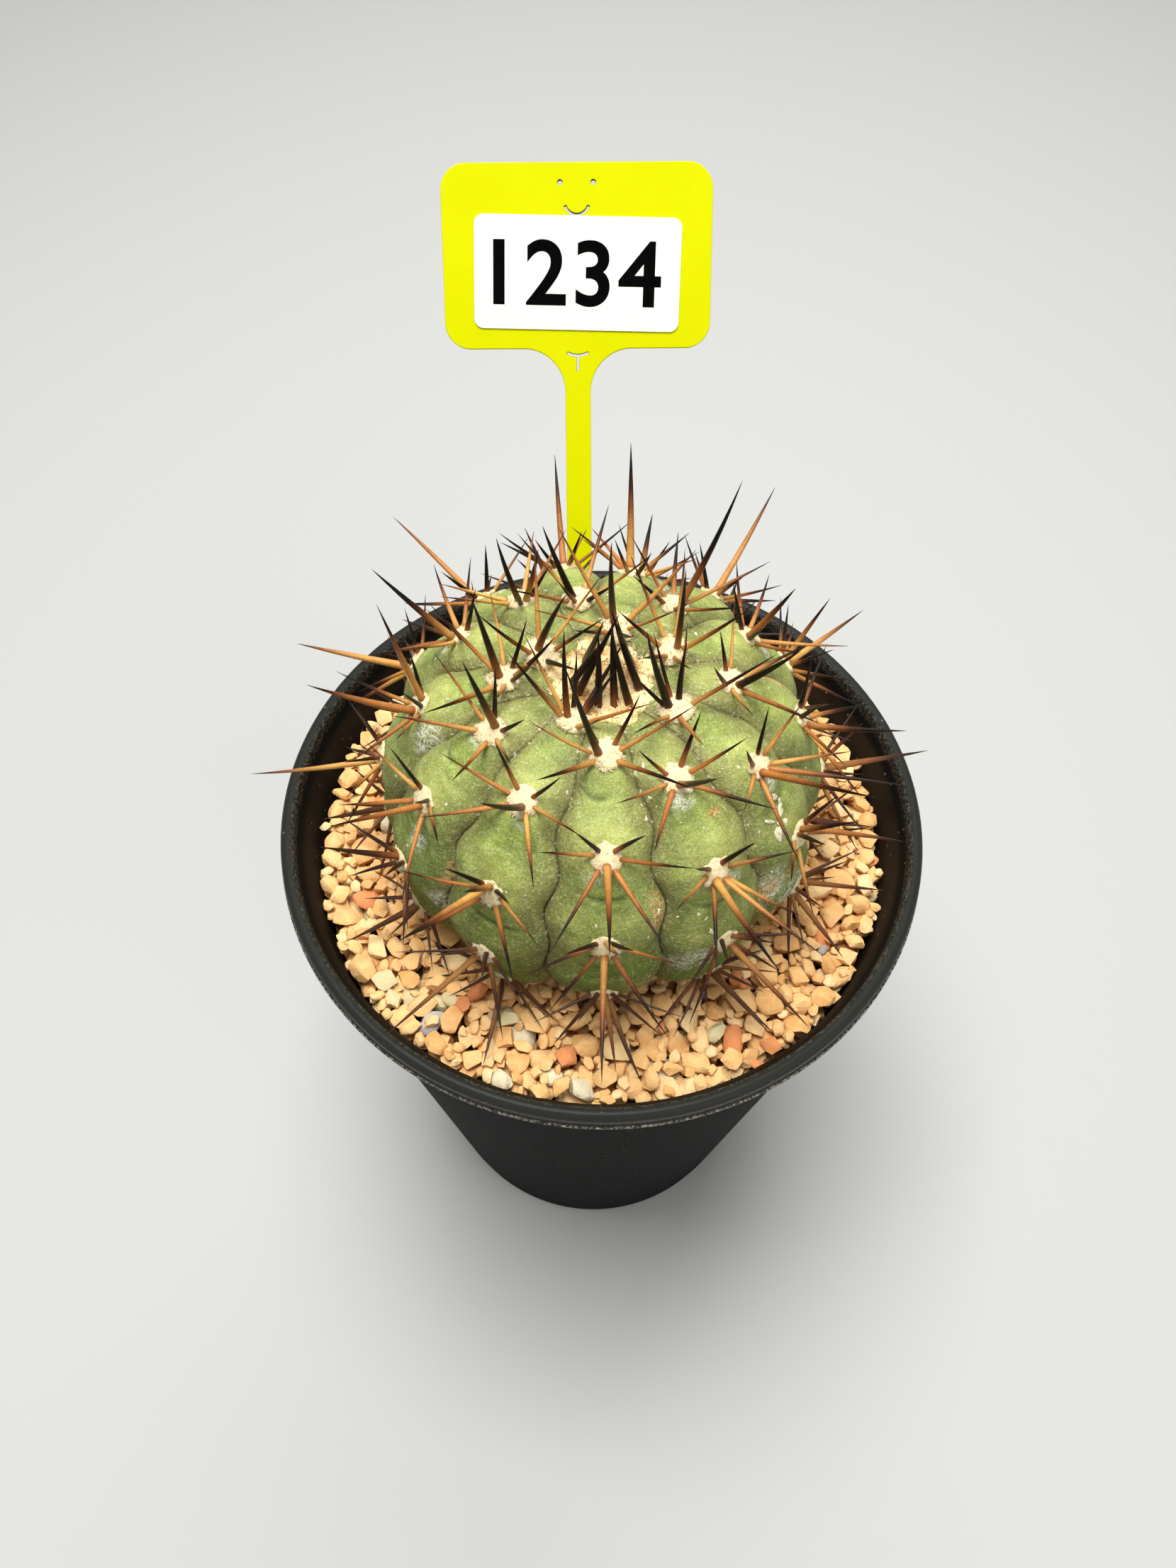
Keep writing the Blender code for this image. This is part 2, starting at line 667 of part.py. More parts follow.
def label_slots():
    """Two pinholes, a curved slot and a tie slot, punched through the plastic."""
    return [
        circle_outline((-PINHOLE_SPACING / 2, PINHOLE_HEIGHT), PINHOLE_RADIUS, 8),
        circle_outline((PINHOLE_SPACING / 2, PINHOLE_HEIGHT), PINHOLE_RADIUS, 8),
        arc_slot((0.0, CURVED_SLOT_HEIGHT), CURVED_SLOT_RADIUS, 200.0, 340.0, SLOT_WIDTH),
        tie_slot(),
    ]


def flat_outline(name, outlines, thickness, place, collection):
    """A flat plate from closed outlines: the first is its edge and the others are holes."""
    curve = bpy.data.curves.new(name, "CURVE")
    curve.dimensions = "2D"
    curve.fill_mode = "BOTH"
    curve.extrude = thickness / 2
    for outline in outlines:
        spline = curve.splines.new("POLY")
        spline.points.add(len(outline) - 1)
        for point, (x, y) in zip(spline.points, outline):
            point.co = (x, y, 0.0, 1.0)
        spline.use_cyclic_u = True
    obj = add_object(name, curve, collection)
    obj.matrix_world = place
    return obj


def make_label(parts):
    outlines = [label_outline(), *label_slots()]
    label = flat_outline("plant_label", outlines, LABEL_THICKNESS, label_place(), parts)
    give_material(label, "yellow_polypropylene", (0.72, 0.82, 0.0), 0.5)
    return label


def make_card(parts):
    width, height = CARD_SIZE
    half, tall, r = width / 2, height / 2, CARD_CORNER
    outline = arc_points((half - r, -tall + r), r, -90.0, 0.0, 3)
    outline += arc_points((half - r, tall - r), r, 0.0, 90.0, 3)
    outline += arc_points((-half + r, tall - r), r, 90.0, 180.0, 3)
    outline += arc_points((-half + r, -tall + r), r, 180.0, 270.0, 3)
    front = LABEL_THICKNESS / 2 + GAP + CARD_THICKNESS / 2
    place = label_place() @ Matrix.Translation((0.0, CARD_CENTRE, front)) @ Matrix.Rotation(CARD_TURN, 4, "Z")
    card = flat_outline("label_card", [outline], CARD_THICKNESS, place, parts)
    give_material(card, "white_card", (0.85, 0.85, 0.83), 0.55)
    return card


def stake_cutter(cutters):
    """The stem's slot in the grit: a box a little wider than the stem, and as long."""
    middle = Matrix.Translation((0.0, STEM_END - SLOT_GAP + STAKE_SLOT_LENGTH / 2, 0.0))
    sides = (STEM_WIDTH + 2 * SLOT_GAP, STAKE_SLOT_LENGTH, LABEL_THICKNESS + 2 * SLOT_GAP)
    place = label_place() @ middle @ Matrix.Diagonal((*sides, 1.0))
    bm = bmesh.new()
    bmesh.ops.create_cube(bm, size=1.0, matrix=place)
    slot = add_object("stake_slot", mesh_from(bm, "stake_slot"), cutters)
    hide_helper(slot)
    return slot


def main():
    clear_scene()
    parts = new_collection("copiapoa_in_pot")
    cutters = new_collection("cutters")
    repeats = new_collection("repeats")
    for helper in (cutters, repeats):
        helper.hide_render = True
    make_pot(parts, cutters)
    make_cactus(parts, repeats)
    make_grit(parts, cutters)
    make_label(parts)
    make_card(parts)
    for helper in (cutters, repeats):
        bpy.data.collections.remove(helper)


main()
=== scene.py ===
# %% [markdown]
# # Copiapoa cactus in its pot
# A ribbed desert cactus grows in a tall black nursery pot that is topped with grit, and a plastic
# label leans back behind it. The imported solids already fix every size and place. The cells below
# give each of them its finer shape and its finish: a waxy skin, felted areoles, horny spines,
# loose stones, moulded plastic and printed card.

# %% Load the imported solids
import functools
import math
import random

import bpy
import numpy as np
from mathutils import Matrix, Vector, noise


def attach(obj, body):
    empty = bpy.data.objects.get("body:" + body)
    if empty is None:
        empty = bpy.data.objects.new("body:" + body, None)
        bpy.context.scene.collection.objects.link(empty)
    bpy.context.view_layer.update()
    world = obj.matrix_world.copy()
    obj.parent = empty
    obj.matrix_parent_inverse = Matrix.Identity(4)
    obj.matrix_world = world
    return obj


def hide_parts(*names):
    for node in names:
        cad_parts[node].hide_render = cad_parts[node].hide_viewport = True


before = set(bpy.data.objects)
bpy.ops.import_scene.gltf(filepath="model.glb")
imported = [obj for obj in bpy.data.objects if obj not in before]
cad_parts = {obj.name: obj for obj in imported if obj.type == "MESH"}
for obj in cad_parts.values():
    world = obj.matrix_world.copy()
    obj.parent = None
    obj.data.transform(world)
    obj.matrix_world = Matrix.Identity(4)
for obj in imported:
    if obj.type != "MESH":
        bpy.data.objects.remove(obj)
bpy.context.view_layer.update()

print("solids:", sorted(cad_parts))

# %% [markdown]
# Every piece goes through the same few steps, so they come first. Hex colours are what a colour
# picker shows on a photograph, while Blender's sockets take linear light, so one function turns one
# into the other. Another adds a shader node and fills its inputs, each with a value, a socket or
# another node. The rest make a piece, join copies into one mesh and tie a finished piece to the pot.

# %% Helpers for colours and nodes
def linear(hex_colour):
    """An sRGB hex colour as the linear RGBA that a socket takes."""
    values = [int(hex_colour[i : i + 2], 16) / 255 for i in (1, 3, 5)]
    return (*[v / 12.92 if v <= 0.04045 else ((v + 0.055) / 1.055) ** 2.4 for v in values], 1.0)


def add_node(tree, kind, *values, **named):
    """Adds a shader node. Values fill its open inputs in order, and a name is a setting or an input."""
    made = tree.nodes.new("ShaderNode" + kind)
    if kind == "Mix":
        made.data_type = "RGBA"
    for name in [name for name in named if hasattr(made, name)]:
        setattr(made, name, named.pop(name))
    sockets = [socket for socket in made.inputs if socket.enabled]
    fills = [*zip(sockets, values), *((s, named[s.name]) for s in sockets if s.name in named)]
    for socket, value in fills:
        if isinstance(value, bpy.types.Node):
            value = next(output for output in value.outputs if output.enabled)
        if isinstance(value, bpy.types.NodeSocket):
            tree.links.new(value, socket)
        else:
            socket.default_value = linear(value) if isinstance(value, str) else value
    return made


def new_material(name, **inputs):
    """A material, what adds nodes to it, its Principled shader, and the object's own coordinates, in m."""
    made = bpy.data.materials.new(name)
    made.use_nodes = True
    shader = made.node_tree.nodes["Principled BSDF"]
    for socket, value in inputs.items():
        shader.inputs[socket.replace("_", " ")].default_value = value
    add = functools.partial(add_node, made.node_tree)
    return made, add, shader, add("TexCoord").outputs["Object"]


def feed(shader, **inputs):
    """Links nodes to the shader's sockets."""
    for name, node in inputs.items():
        output = next(socket for socket in node.outputs if socket.enabled)
        shader.id_data.links.new(output, shader.inputs[name.replace("_", " ")])


print("mid grey in linear light:", linear("#808080"))

# %% Helpers for pieces
def active_piece(name):
    """The object that the last operator made, under its own name."""
    made = bpy.context.view_layer.objects.active
    made.name = made.data.name = name
    return made


def select_only(*pieces):
    bpy.ops.object.select_all(action="DESELECT")
    for piece in pieces:
        piece.select_set(True)
    bpy.context.view_layer.objects.active = pieces[0]


def new_shape(name, add_shape, **sizes):
    """A mesh from one of Blender's shape operators, with nothing else selected."""
    bpy.ops.object.select_all(action="DESELECT")
    add_shape(**sizes)
    bpy.ops.object.transform_apply(location=True, rotation=True, scale=True)
    return active_piece(name)


def new_piece(name, data):
    """An object made from a mesh, a curve or a text, as a mesh."""
    made = bpy.data.objects.new(name, data)
    bpy.context.scene.collection.objects.link(made)
    select_only(made)
    if made.type != "MESH":
        bpy.ops.object.convert(target="MESH")
    return active_piece(name)


def copy_of(model, name, mesh_change):
    """A copy with its own mesh, moved or changed by a matrix or by a new list of corners."""
    copy = bpy.data.objects.new(name, model.data.copy())
    if isinstance(mesh_change, Matrix):
        copy.data.transform(mesh_change)
    else:
        copy.data.vertices.foreach_set("co", mesh_change.ravel())
    bpy.context.scene.collection.objects.link(copy)
    return copy


def mark(piece, **values):
    """Stores one number, or one number for each corner, as an attribute that the finish reads."""
    for name, value in values.items():
        numbers = np.broadcast_to(np.asarray(value, dtype=float), len(piece.data.vertices))
        piece.data.attributes.new(name, "FLOAT", "POINT").data.foreach_set("value", numbers.copy())


def corners_of(piece):
    return np.array([vert.co for vert in piece.data.vertices])


def join_pieces(pieces, name, *models):
    """Joins copies into one piece and removes the models that they were copied from."""
    for model in models:
        bpy.data.objects.remove(model)
    select_only(*pieces)
    bpy.ops.object.join()
    return active_piece(name)


def finish_piece(piece, material, slot, *stands_for):
    """Dresses a piece, ties it to the pot, hides the solids that it stands for and prints its triangles."""
    piece.data.materials.clear()
    piece.data.materials.append(material)
    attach(piece, "root")
    if stands_for:
        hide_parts(*stands_for)
    triangles = sum(len(face.vertices) - 2 for face in piece.data.polygons)
    print(f"{piece.name}: {triangles} triangles")


# %% [markdown]
# The plant grows by one rule, the one that its solid was made with. A line runs from the crown over
# the shoulder and down to the root, and thirteen ribs follow it. Felted areoles sit at even steps
# down each rib, and each rib's areoles come 5/13 of a step later than its neighbour's, which gives
# the spirals seen on the real plant. All lengths are in metres.

# %% The growth rule: ribs and their crest line
GRIT_TOP, POT_HEIGHT = 0.107, 0.117
PLANT_CENTRE, UP = Vector((-0.0004, -0.0011, GRIT_TOP)), Vector((0.0, 0.0, 1.0))
RIBS = 13
BODY_RADIUS, WIDEST_HEIGHT, UPPER_RISE, LOWER_DROP = 0.0324, 0.0182, 0.0263, 0.0247
SHOULDER_POWER, CROWN_DIP, CROWN_DIP_RADIUS = 0.65, 0.0048, 0.0078
ROOT_TURN = math.radians(159.0)
ROOT_LENGTH, ROOT_TIP_RADIUS = 0.036, 0.003
GROOVE_DEPTH, TUBERCLE_DEPTH, GROOVE_SWING, GROOVE_CALM = 0.0030, 0.0008, 0.030, 0.55
FIRST_RIB, FRONT_SPREAD = math.radians(1.4), 0.095
AREOLE_STEP, AREOLE_START, AREOLE_BACK_SHIFT = 0.0134, 0.0133, 0.0027
AREOLE_FIRST_ARC, AREOLE_LOWEST = 0.0066, 0.0045
MERIDIAN_STEPS = 400


def rib_angle(rib):
    """Azimuth of a rib crest from the front."""
    turn = 2 * math.pi * rib / RIBS
    return FIRST_RIB + turn + FRONT_SPREAD * math.sin(turn)


def meridian_points(count):
    """(radius, height) along a rib crest, from the crown down to the root tip."""
    points = []
    for i in range(count + 1):
        turn = ROOT_TURN * i / count
        radius = BODY_RADIUS * math.sin(turn) ** SHOULDER_POWER
        rise = UPPER_RISE if turn < math.pi / 2 else LOWER_DROP
        dip = CROWN_DIP * math.exp(-((radius / CROWN_DIP_RADIUS) ** 2)) if turn < math.pi / 2 else 0.0
        points.append((radius, WIDEST_HEIGHT + rise * math.cos(turn) - dip))
    neck_radius, neck_height = points[-1]
    for i in range(1, count // 4 + 1):
        share = i / (count // 4)
        radius = ROOT_TIP_RADIUS + (neck_radius - ROOT_TIP_RADIUS) * (1 - share) ** 1.4
        points.append((radius, neck_height - ROOT_LENGTH * share))
    return points


MERIDIAN = np.array(meridian_points(MERIDIAN_STEPS))
ARCS = np.concatenate(([0.0], np.cumsum(np.hypot(*np.diff(MERIDIAN, axis=0).T))))
BODY_END = ARCS[MERIDIAN_STEPS]


def meridian(arc):
    """Radius, height and outward normal of the crest line at a length along it."""
    arc = min(max(arc, 0.0), ARCS[-1])
    low = min(max(int(np.searchsorted(ARCS, arc, side="right")) - 1, 0), len(ARCS) - 2)
    (r0, z0), (r1, z1) = MERIDIAN[low], MERIDIAN[low + 1]
    length = ARCS[low + 1] - ARCS[low]
    share = (arc - ARCS[low]) / length
    return r0 + (r1 - r0) * share, z0 + (z1 - z0) * share, ((z0 - z1) / length, (r1 - r0) / length)


print("crest line:", round(1000 * BODY_END, 1), "mm")

# %% [markdown]
# Between two crests the skin sinks into a sharp groove. A rib is narrow under each areole and wide
# above the next one, and a low chin bulges out between them.

# %% Any point of the skin
def areole_start(rib):
    later = (5 * rib % RIBS) / RIBS
    back = 1 - math.cos(2 * math.pi * rib / RIBS)
    return AREOLE_START + AREOLE_STEP * later + AREOLE_BACK_SHIFT * back


def areole_phase(arc, rib):
    """0 at an areole, rising to 1 at the next one down the rib."""
    return ((arc - areole_start(rib % RIBS)) / AREOLE_STEP) % 1.0


def fade_in(value, start, end):
    share = min(max((value - start) / (end - start), 0.0), 1.0)
    return share * share * (3 - 2 * share)


def rib_width_swing(arc, rib):
    """Sideways swing of the groove after a rib, which is narrow under an areole and wide above the next."""
    swell = [-math.cos(2 * math.pi * (areole_phase(arc, r) - 0.27)) for r in (rib, rib + 1)]
    strength = fade_in(arc, 0.006, 0.020) * (1 - GROOVE_CALM * fade_in(arc, 0.032, 0.046))
    return GROOVE_SWING * strength * (swell[0] - swell[1])


def skin(arc, rib, across, relief=0.0):
    """A point of the skin: length from the crown, rib, -0.5 to 0.5 across that rib, and extra height."""
    radius, height, normal = meridian(arc)
    side = rib_width_swing(arc, rib) if across > 0 else rib_width_swing(arc, rib - 1)
    angle = rib_angle(rib + across + side * (2 * abs(across)) ** 1.5)
    fullness = max(1 - (2 * abs(across)) ** 2.6, 0.0) ** 0.6
    above_soil = fade_in(height, -0.006, 0.0)
    groove = GROOVE_DEPTH * fade_in(arc, 0.002, 0.030) * above_soil
    chin = (0.5 + 0.5 * math.cos(2 * math.pi * (areole_phase(arc, rib) - 0.45))) ** 1.5
    tubercle = TUBERCLE_DEPTH * chin * fade_in(arc, 0.006, 0.016) * above_soil
    sink = groove * (1 - fullness) + tubercle * fullness - relief
    radius -= sink * normal[0]
    height -= sink * normal[1]
    return PLANT_CENTRE + Vector((radius * math.sin(angle), -radius * math.cos(angle), height))


print("middle of the crown:", [round(1000 * x, 1) for x in skin(0.0, 0, 0.0)], "mm")

# %% Areoles, and how a piece is laid on the skin
def areoles():
    """(arc, rib) of every felted areole above the grit."""
    found = []
    for rib in range(RIBS):
        arc = areole_start(rib)
        while arc - AREOLE_STEP > AREOLE_FIRST_ARC:
            arc -= AREOLE_STEP
        while meridian(arc)[1] > AREOLE_LOWEST and arc < BODY_END:
            found.append((arc, rib))
            arc += AREOLE_STEP
    return found


def skin_frame(arc, rib, place=0.0):
    """A point of the skin with its outward normal, the direction up the rib and the one across it."""
    centre = skin(arc, rib, place)
    step = 0.0004
    up = (skin(arc - step, rib, place) - skin(arc + step, rib, place)).normalized()
    across = (skin(arc, rib, place + 0.06) - skin(arc, rib, place - 0.06)).normalized()
    normal = up.cross(across).normalized()
    if normal.dot(centre - PLANT_CENTRE - UP * WIDEST_HEIGHT) < 0:
        normal.negate()
    return centre, normal, up, across


def laid_on(centre, normal, up, across, size, turn=0.0):
    """The matrix that lays a unit shape on the skin at its size."""
    place = Matrix.Translation(centre) @ Matrix((across, up, normal)).transposed().to_4x4()
    return place @ Matrix.Rotation(turn, 4, "Z") @ Matrix.Diagonal((*size, 1.0))


print("areoles:", len(areoles()))

# %% [markdown]
# The body is a tight, water-filled skin over thirteen ribs. It could be sculpted, but the rule above
# already says where each point lies, so a fine sphere is added and its rings and columns are moved
# onto the skin. The columns crowd together at the grooves, which are sharp, and are wide on the
# flat crests. Low noise keeps the ribs from looking machined, and one or two shallow folds cross
# each rib between its areoles, where the skin has shrunk and swelled with the seasons. Each fold has
# its own place, width, slope and depth.

# %% Folds across the ribs
draw_folds = random.Random(31)
folds = {
    (rib, turn): [
        {
            "phase": draw_folds.uniform(0.36, 0.52) + 0.16 * extra,
            "middle": draw_folds.uniform(-0.14, 0.14),
            "half": draw_folds.uniform(0.10, 0.24),
            "slope": draw_folds.uniform(-0.22, 0.22),
            "curve": draw_folds.uniform(0.8, 2.2),
            "depth": draw_folds.uniform(0.35, 1.0) * (0.6 if extra else 1.0),
        }
        for extra in range(draw_folds.choice((1, 1, 2)))
    ]
    for rib in range(RIBS)
    for turn in range(-3, 6)
}
folds[0, 0][0].update(phase=0.43, middle=-0.15, half=0.20, depth=1.0)
folds[0, 1][0].update(phase=0.47, middle=0.0, half=0.24, depth=1.0)
folds[12, 1][0].update(phase=0.45, middle=0.05, half=0.24, depth=1.0)
folds[1, 1][0].update(phase=0.42, middle=-0.05, half=0.22, depth=0.9)
print("folds:", sum(len(found) for found in folds.values()))

# %% Where scurf and scars lie
# Patches of marks: rib, place across it, mm from the crown, half width, half length, strength
SCURF_SPOTS = [
    (2, -0.35, 44.0, 2.4, 4.2, 1.0), (1, -0.20, 49.0, 4.4, 3.6, 1.0), (2, -0.10, 50.0, 3.2, 3.0, 1.0),
    (11, 0.10, 37.0, 1.7, 2.6, 0.9), (10, 0.40, 27.5, 1.8, 2.8, 1.0), (11, 0.45, 47.0, 2.2, 3.2, 0.9),
    (0, -0.20, 55.0, 3.4, 1.6, 0.7), (10, 0.10, 42.0, 2.0, 2.6, 0.8),
]
SCAR_SPOTS = [
    (0, 0.42, 36.0, 0.9, 3.2, 1.0), (2, -0.40, 44.5, 2.4, 2.0, 1.0), (1, 0.48, 48.5, 1.3, 3.6, 1.0),
    (2, -0.10, 45.5, 1.8, 1.6, 0.8), (1, 0.25, 25.0, 1.3, 0.9, 0.8), (11, 0.48, 40.0, 1.0, 4.0, 0.7),
]
draw_marks = random.Random(53)
for rib in range(3, 10):
    for spots, strength in ((SCURF_SPOTS, 0.85), (SCURF_SPOTS, 0.7), (SCAR_SPOTS, 0.8)):
        where_on_rib = (rib, draw_marks.uniform(-0.5, 0.5), draw_marks.uniform(28.0, 55.0))
        spots.append((*where_on_rib, draw_marks.uniform(1.2, 3.0), draw_marks.uniform(1.8, 3.4), strength))
for arc, rib in areoles():
    if arc > 0.016:
        where_on_rib = (rib, draw_marks.uniform(-0.16, 0.16), 1000 * arc + draw_marks.uniform(1.6, 3.0))
        SCURF_SPOTS.append((*where_on_rib, 1.9, 1.7, draw_marks.uniform(0.35, 1.0)))
print("patches of scurf:", len(SCURF_SPOTS), "and of scars:", len(SCAR_SPOTS))

# %% The ribbed body
COLUMNS, RINGS, ROOT_RINGS = 28, 212, 6
WAVE, RIPPLE, FOLD_LIP, FOLD_DENT = 0.00030, 0.00011, 0.00014, 0.00034


def fold_at(rib, below, across):
    """Depth of the nearest fold here, from 0 to 1, and the height of the lip just below it."""
    turn = math.floor(below)
    dent, lip = 0.0, 0.0
    for fold in folds.get((rib, turn), ()):
        side = across - fold["middle"]
        line = fold["phase"] + fold["slope"] * side - fold["curve"] * side * side
        gap = (below - turn - line) * AREOLE_STEP * 1000
        weight = fold["depth"] * math.exp(-((side / fold["half"]) ** 4))
        dent = max(dent, weight * math.exp(-((gap / 0.32) ** 2)))
        lip = max(lip, weight * math.exp(-(((gap - 0.9) / 0.6) ** 2)))
    return dent, lip


def ring_arc(share):
    """Close rings on the body and a few wide ones on the root."""
    body_share = (RINGS - ROOT_RINGS) / RINGS
    if share <= body_share:
        return BODY_END * share / body_share
    return BODY_END + (ARCS[-1] - BODY_END) * (share - body_share) / (1 - body_share)


def column_across(column):
    """Place across the rib of one of its columns, crowded towards both grooves."""
    even = -0.5 + column / COLUMNS
    return 0.75 * math.sin(math.pi * even) / 2 + 0.25 * even


body = new_shape(
    "cactus_skin", bpy.ops.mesh.primitive_uv_sphere_add, segments=RIBS * COLUMNS, ring_count=RINGS
)
measures = {name: [] for name in ("from_groove", "fold", "under_felt")}
places = []
for vert in body.data.vertices:
    polar = math.acos(max(-1.0, min(1.0, vert.co.z)))
    arc = ring_arc(polar / math.pi)
    column = round(math.atan2(vert.co.y, vert.co.x) / (2 * math.pi) * RIBS * COLUMNS) % (RIBS * COLUMNS)
    rib, place = divmod(column, COLUMNS)
    across = column_across(place)
    radius, height, _ = meridian(arc)
    below = (arc - areole_start(rib)) / AREOLE_STEP
    grown = fade_in(arc, 0.011, 0.020) * fade_in(height, 0.001, 0.006)
    dent, lip = fold_at(rib, below, across)
    if polar < 1e-4 or polar > math.pi - 1e-4:
        vert.co = PLANT_CENTRE + UP * height
    else:
        spot = skin(arc, rib, across) + UP * 0.31 * rib
        edge = 1 - (2 * abs(across)) ** 4
        uneven = WAVE * noise.noise(spot * 110.0) + RIPPLE * noise.noise(spot * 420.0)
        relief = uneven * edge * fade_in(height, -0.003, 0.001) + grown * (FOLD_LIP * lip - FOLD_DENT * dent)
        vert.co = skin(arc, rib, across, relief)
    pitch = 2 * math.pi * radius / RIBS
    phase = below - math.floor(below)
    side, drop = across * pitch / 0.0040, (phase * AREOLE_STEP - 0.0050) / 0.0036
    measures["from_groove"].append((0.5 - abs(across)) * pitch * 1000)
    measures["fold"].append(dent * grown)
    measures["under_felt"].append(math.exp(-side * side - drop * drop))
    places.append((rib + across, arc * 1000, pitch * 1000))
round_ribs, arc_mm, pitch_mm = np.array(places).T


def patches_of(spots):
    """For each point of the skin, how strongly it lies in one of these patches."""
    share = np.zeros(len(arc_mm))
    for rib, across, middle, half_width, half_length, strength in spots:
        aside = ((round_ribs - rib - across + RIBS / 2) % RIBS - RIBS / 2) * pitch_mm / half_width
        share = np.maximum(share, strength * np.exp(-(aside**2) - ((arc_mm - middle) / half_length) ** 2))
    return share


mark(body, scurf=patches_of(SCURF_SPOTS), scar=patches_of(SCAR_SPOTS), **measures)
bpy.ops.object.shade_smooth()
print("body vertices:", len(body.data.vertices))

# %% [markdown]
# The skin is a thick green cuticle under a thin bloom of wax, so it is neither glossy nor chalky,
# and a little subsurface lets light into it. The colour is built up in layers, as a painter would:
# deep green low down and pale yellow green on top, fresh and olive patches about 12 mm wide, then a
# mottle of 2 mm. Over these lie pale pores about 0.4 mm apart and a grain of 0.2 mm.

# %% Waxy green skin: the greens
skin_material, add, shader, where = new_material(
    "waxy_cactus_skin", Roughness=0.55, IOR=1.4, Specular_IOR_Level=0.35,
    Subsurface_Weight=0.06, Subsurface_Scale=0.001, Subsurface_Radius=(0.6, 1.0, 0.3),
)
measures = ("from_groove", "under_felt", "fold", "scurf", "scar")
groove_mm, under_felt, fold, scurf, scar = [
    add("Attribute", attribute_name=name).outputs["Fac"] for name in measures
]
up = add("SeparateXYZ", where).outputs["Z"]
height_mm = add("Math", up, 1000.0, -1000 * GRIT_TOP, operation="MULTIPLY_ADD")
patches = add("TexNoise", where, 85.0, 4.0)
mottle = add("TexNoise", where, 420.0, 5.0)
pores = add("TexNoise", where, 2500.0, 3.0)
velvet = add("TexNoise", where, 5200.0, 2.0)
patch_share = add("MapRange", patches, 0.40, 0.62)
colour = add("Mix", patch_share, "#627e2c", "#85893e")
top_share = add("MapRange", height_mm, 17.0, 41.0, 0.0, 0.85)
colour = add("Mix", top_share, colour, "#b9be68")
fresh = add("Math", under_felt, 0.45, operation="MULTIPLY")
colour = add("Mix", fresh, colour, "#6f9128")
# Painted shade: the skin is darkened towards each groove, as if the valley lay in shade.
painted_valley_shade = add("MapRange", groove_mm, 4.2, 0.6, 1.06, 0.66)
colour = add("Mix", 1.0, colour, painted_valley_shade, blend_type="MULTIPLY")
beside = add("MapRange", groove_mm, 1.7, 0.3, 0.0, 0.50)
beside = add("Math", beside, add("MapRange", height_mm, 8.0, 30.0, 0.45), operation="MULTIPLY")
colour = add("Mix", beside, colour, "#9c935a")
pore_share = add("MapRange", pores, 0.50, 0.66, 0.0, 0.50)
colour = add("Mix", pore_share, colour, "#c9cc93")
for grain, dark, pale in ((mottle, 0.66, 1.06), (velvet, 0.64, 1.12)):
    tone = add("MapRange", grain, 0.30, 0.70, dark, pale)
    colour = add("Mix", 1.0, colour, tone, blend_type="MULTIPLY")
print("skin nodes so far:", len(skin_material.node_tree.nodes))

# %% [markdown]
# Marks of age come next, and painted shade with them. Each groove is painted with a thin dark line of
# shade, with grains of pale dust caught in it, and each fold is painted as a dark green line of shade.
# Pale fibres of scurf spread below the older areoles, golden brown scars creep out of the lower grooves,
# and the skin is corky brown where it meets the soil. The fibres and scars are the lines along which a
# noise has one value, which gives thin threads that wander.

# %% Waxy green skin: grooves, folds, scurf, scars and cork
# Painted shade: each fold is painted as a dark green line where its crease would lie in shade.
painted_fold_shade = add("Math", fold, 0.80, operation="MULTIPLY")
colour = add("Mix", painted_fold_shade, colour, "#3f4d26")
# Painted shade: a thin dark line at the bottom of each groove, fainter near the crown.
painted_groove_shade = add("MapRange", height_mm, 26.0, 39.0, 1.0, 0.55)
painted_groove_shade = add("Math", painted_groove_shade, add("MapRange", groove_mm, 0.22, 0.05, 0.0, 0.80), operation="MULTIPLY")
colour = add("Mix", painted_groove_shade, colour, "#2e3218")
dust_share = add("MapRange", add("TexNoise", where, 1500.0, 2.0), 0.60, 0.66, 0.0, 0.85)
dust_share = add("Math", dust_share, add("MapRange", groove_mm, 0.45, 0.20), operation="MULTIPLY")
colour = add("Mix", dust_share, colour, "#cfcbb4")
for measure, scale, width, strength, shade in (
    (scurf, 420.0, 0.100, 0.35, "#b3b88e"),
    (scurf, 520.0, 0.036, 1.00, "#e6e5d2"),
    (scurf, 900.0, 0.036, 0.95, "#dadac2"),
    (scar, 480.0, 0.055, 0.95, "#a8742e"),
    (scar, 1100.0, 0.050, 0.90, "#d8bc80"),
):
    wander = add("TexNoise", where, scale, 3.0, Distortion=1.2)
    off = add("Math", add("Math", wander, 0.5, operation="SUBTRACT"), operation="ABSOLUTE")
    thread = add("MapRange", off, width, 0.3 * width, 0.0, strength)
    amount = add("MapRange", measure, 0.22, 0.60)
    if measure is scurf:
        low_share = add("MapRange", height_mm, 9.0, 1.0, 0.0, 0.45)
        amount = add("Math", amount, low_share, operation="MAXIMUM")
    amount = add("Math", amount, thread, operation="MULTIPLY")
    colour = add("Mix", amount, colour, shade)
cork_line = add("Math", mottle, -5.0, height_mm, operation="MULTIPLY_ADD")
cork_share = add("MapRange", cork_line, 0.6, -1.2, 0.0, 0.85)
colour = add("Mix", cork_share, colour, "#86683c")
relief = add("Math", mottle, 2.4, pores, operation="MULTIPLY_ADD")
relief = add("Math", velvet, 0.6, relief, operation="MULTIPLY_ADD")
feed(shader, Base_Color=colour, Normal=add("Bump", Strength=0.7, Distance=0.00018, Height=relief))
finish_piece(body, skin_material, "cactus_skin", "cactus")

# %% [markdown]
# Each areole is a cushion of felt, plump where it is young and flatter where it is old. One soft
# lump is modelled, copied to every areole, and the joined copies are pushed out and in by a cloud
# texture, so no two are the same. Short loose hairs then stand on them. Real ones are hundredths of
# a millimetre thick. They are drawn about 0.05 mm thick, so that they show.

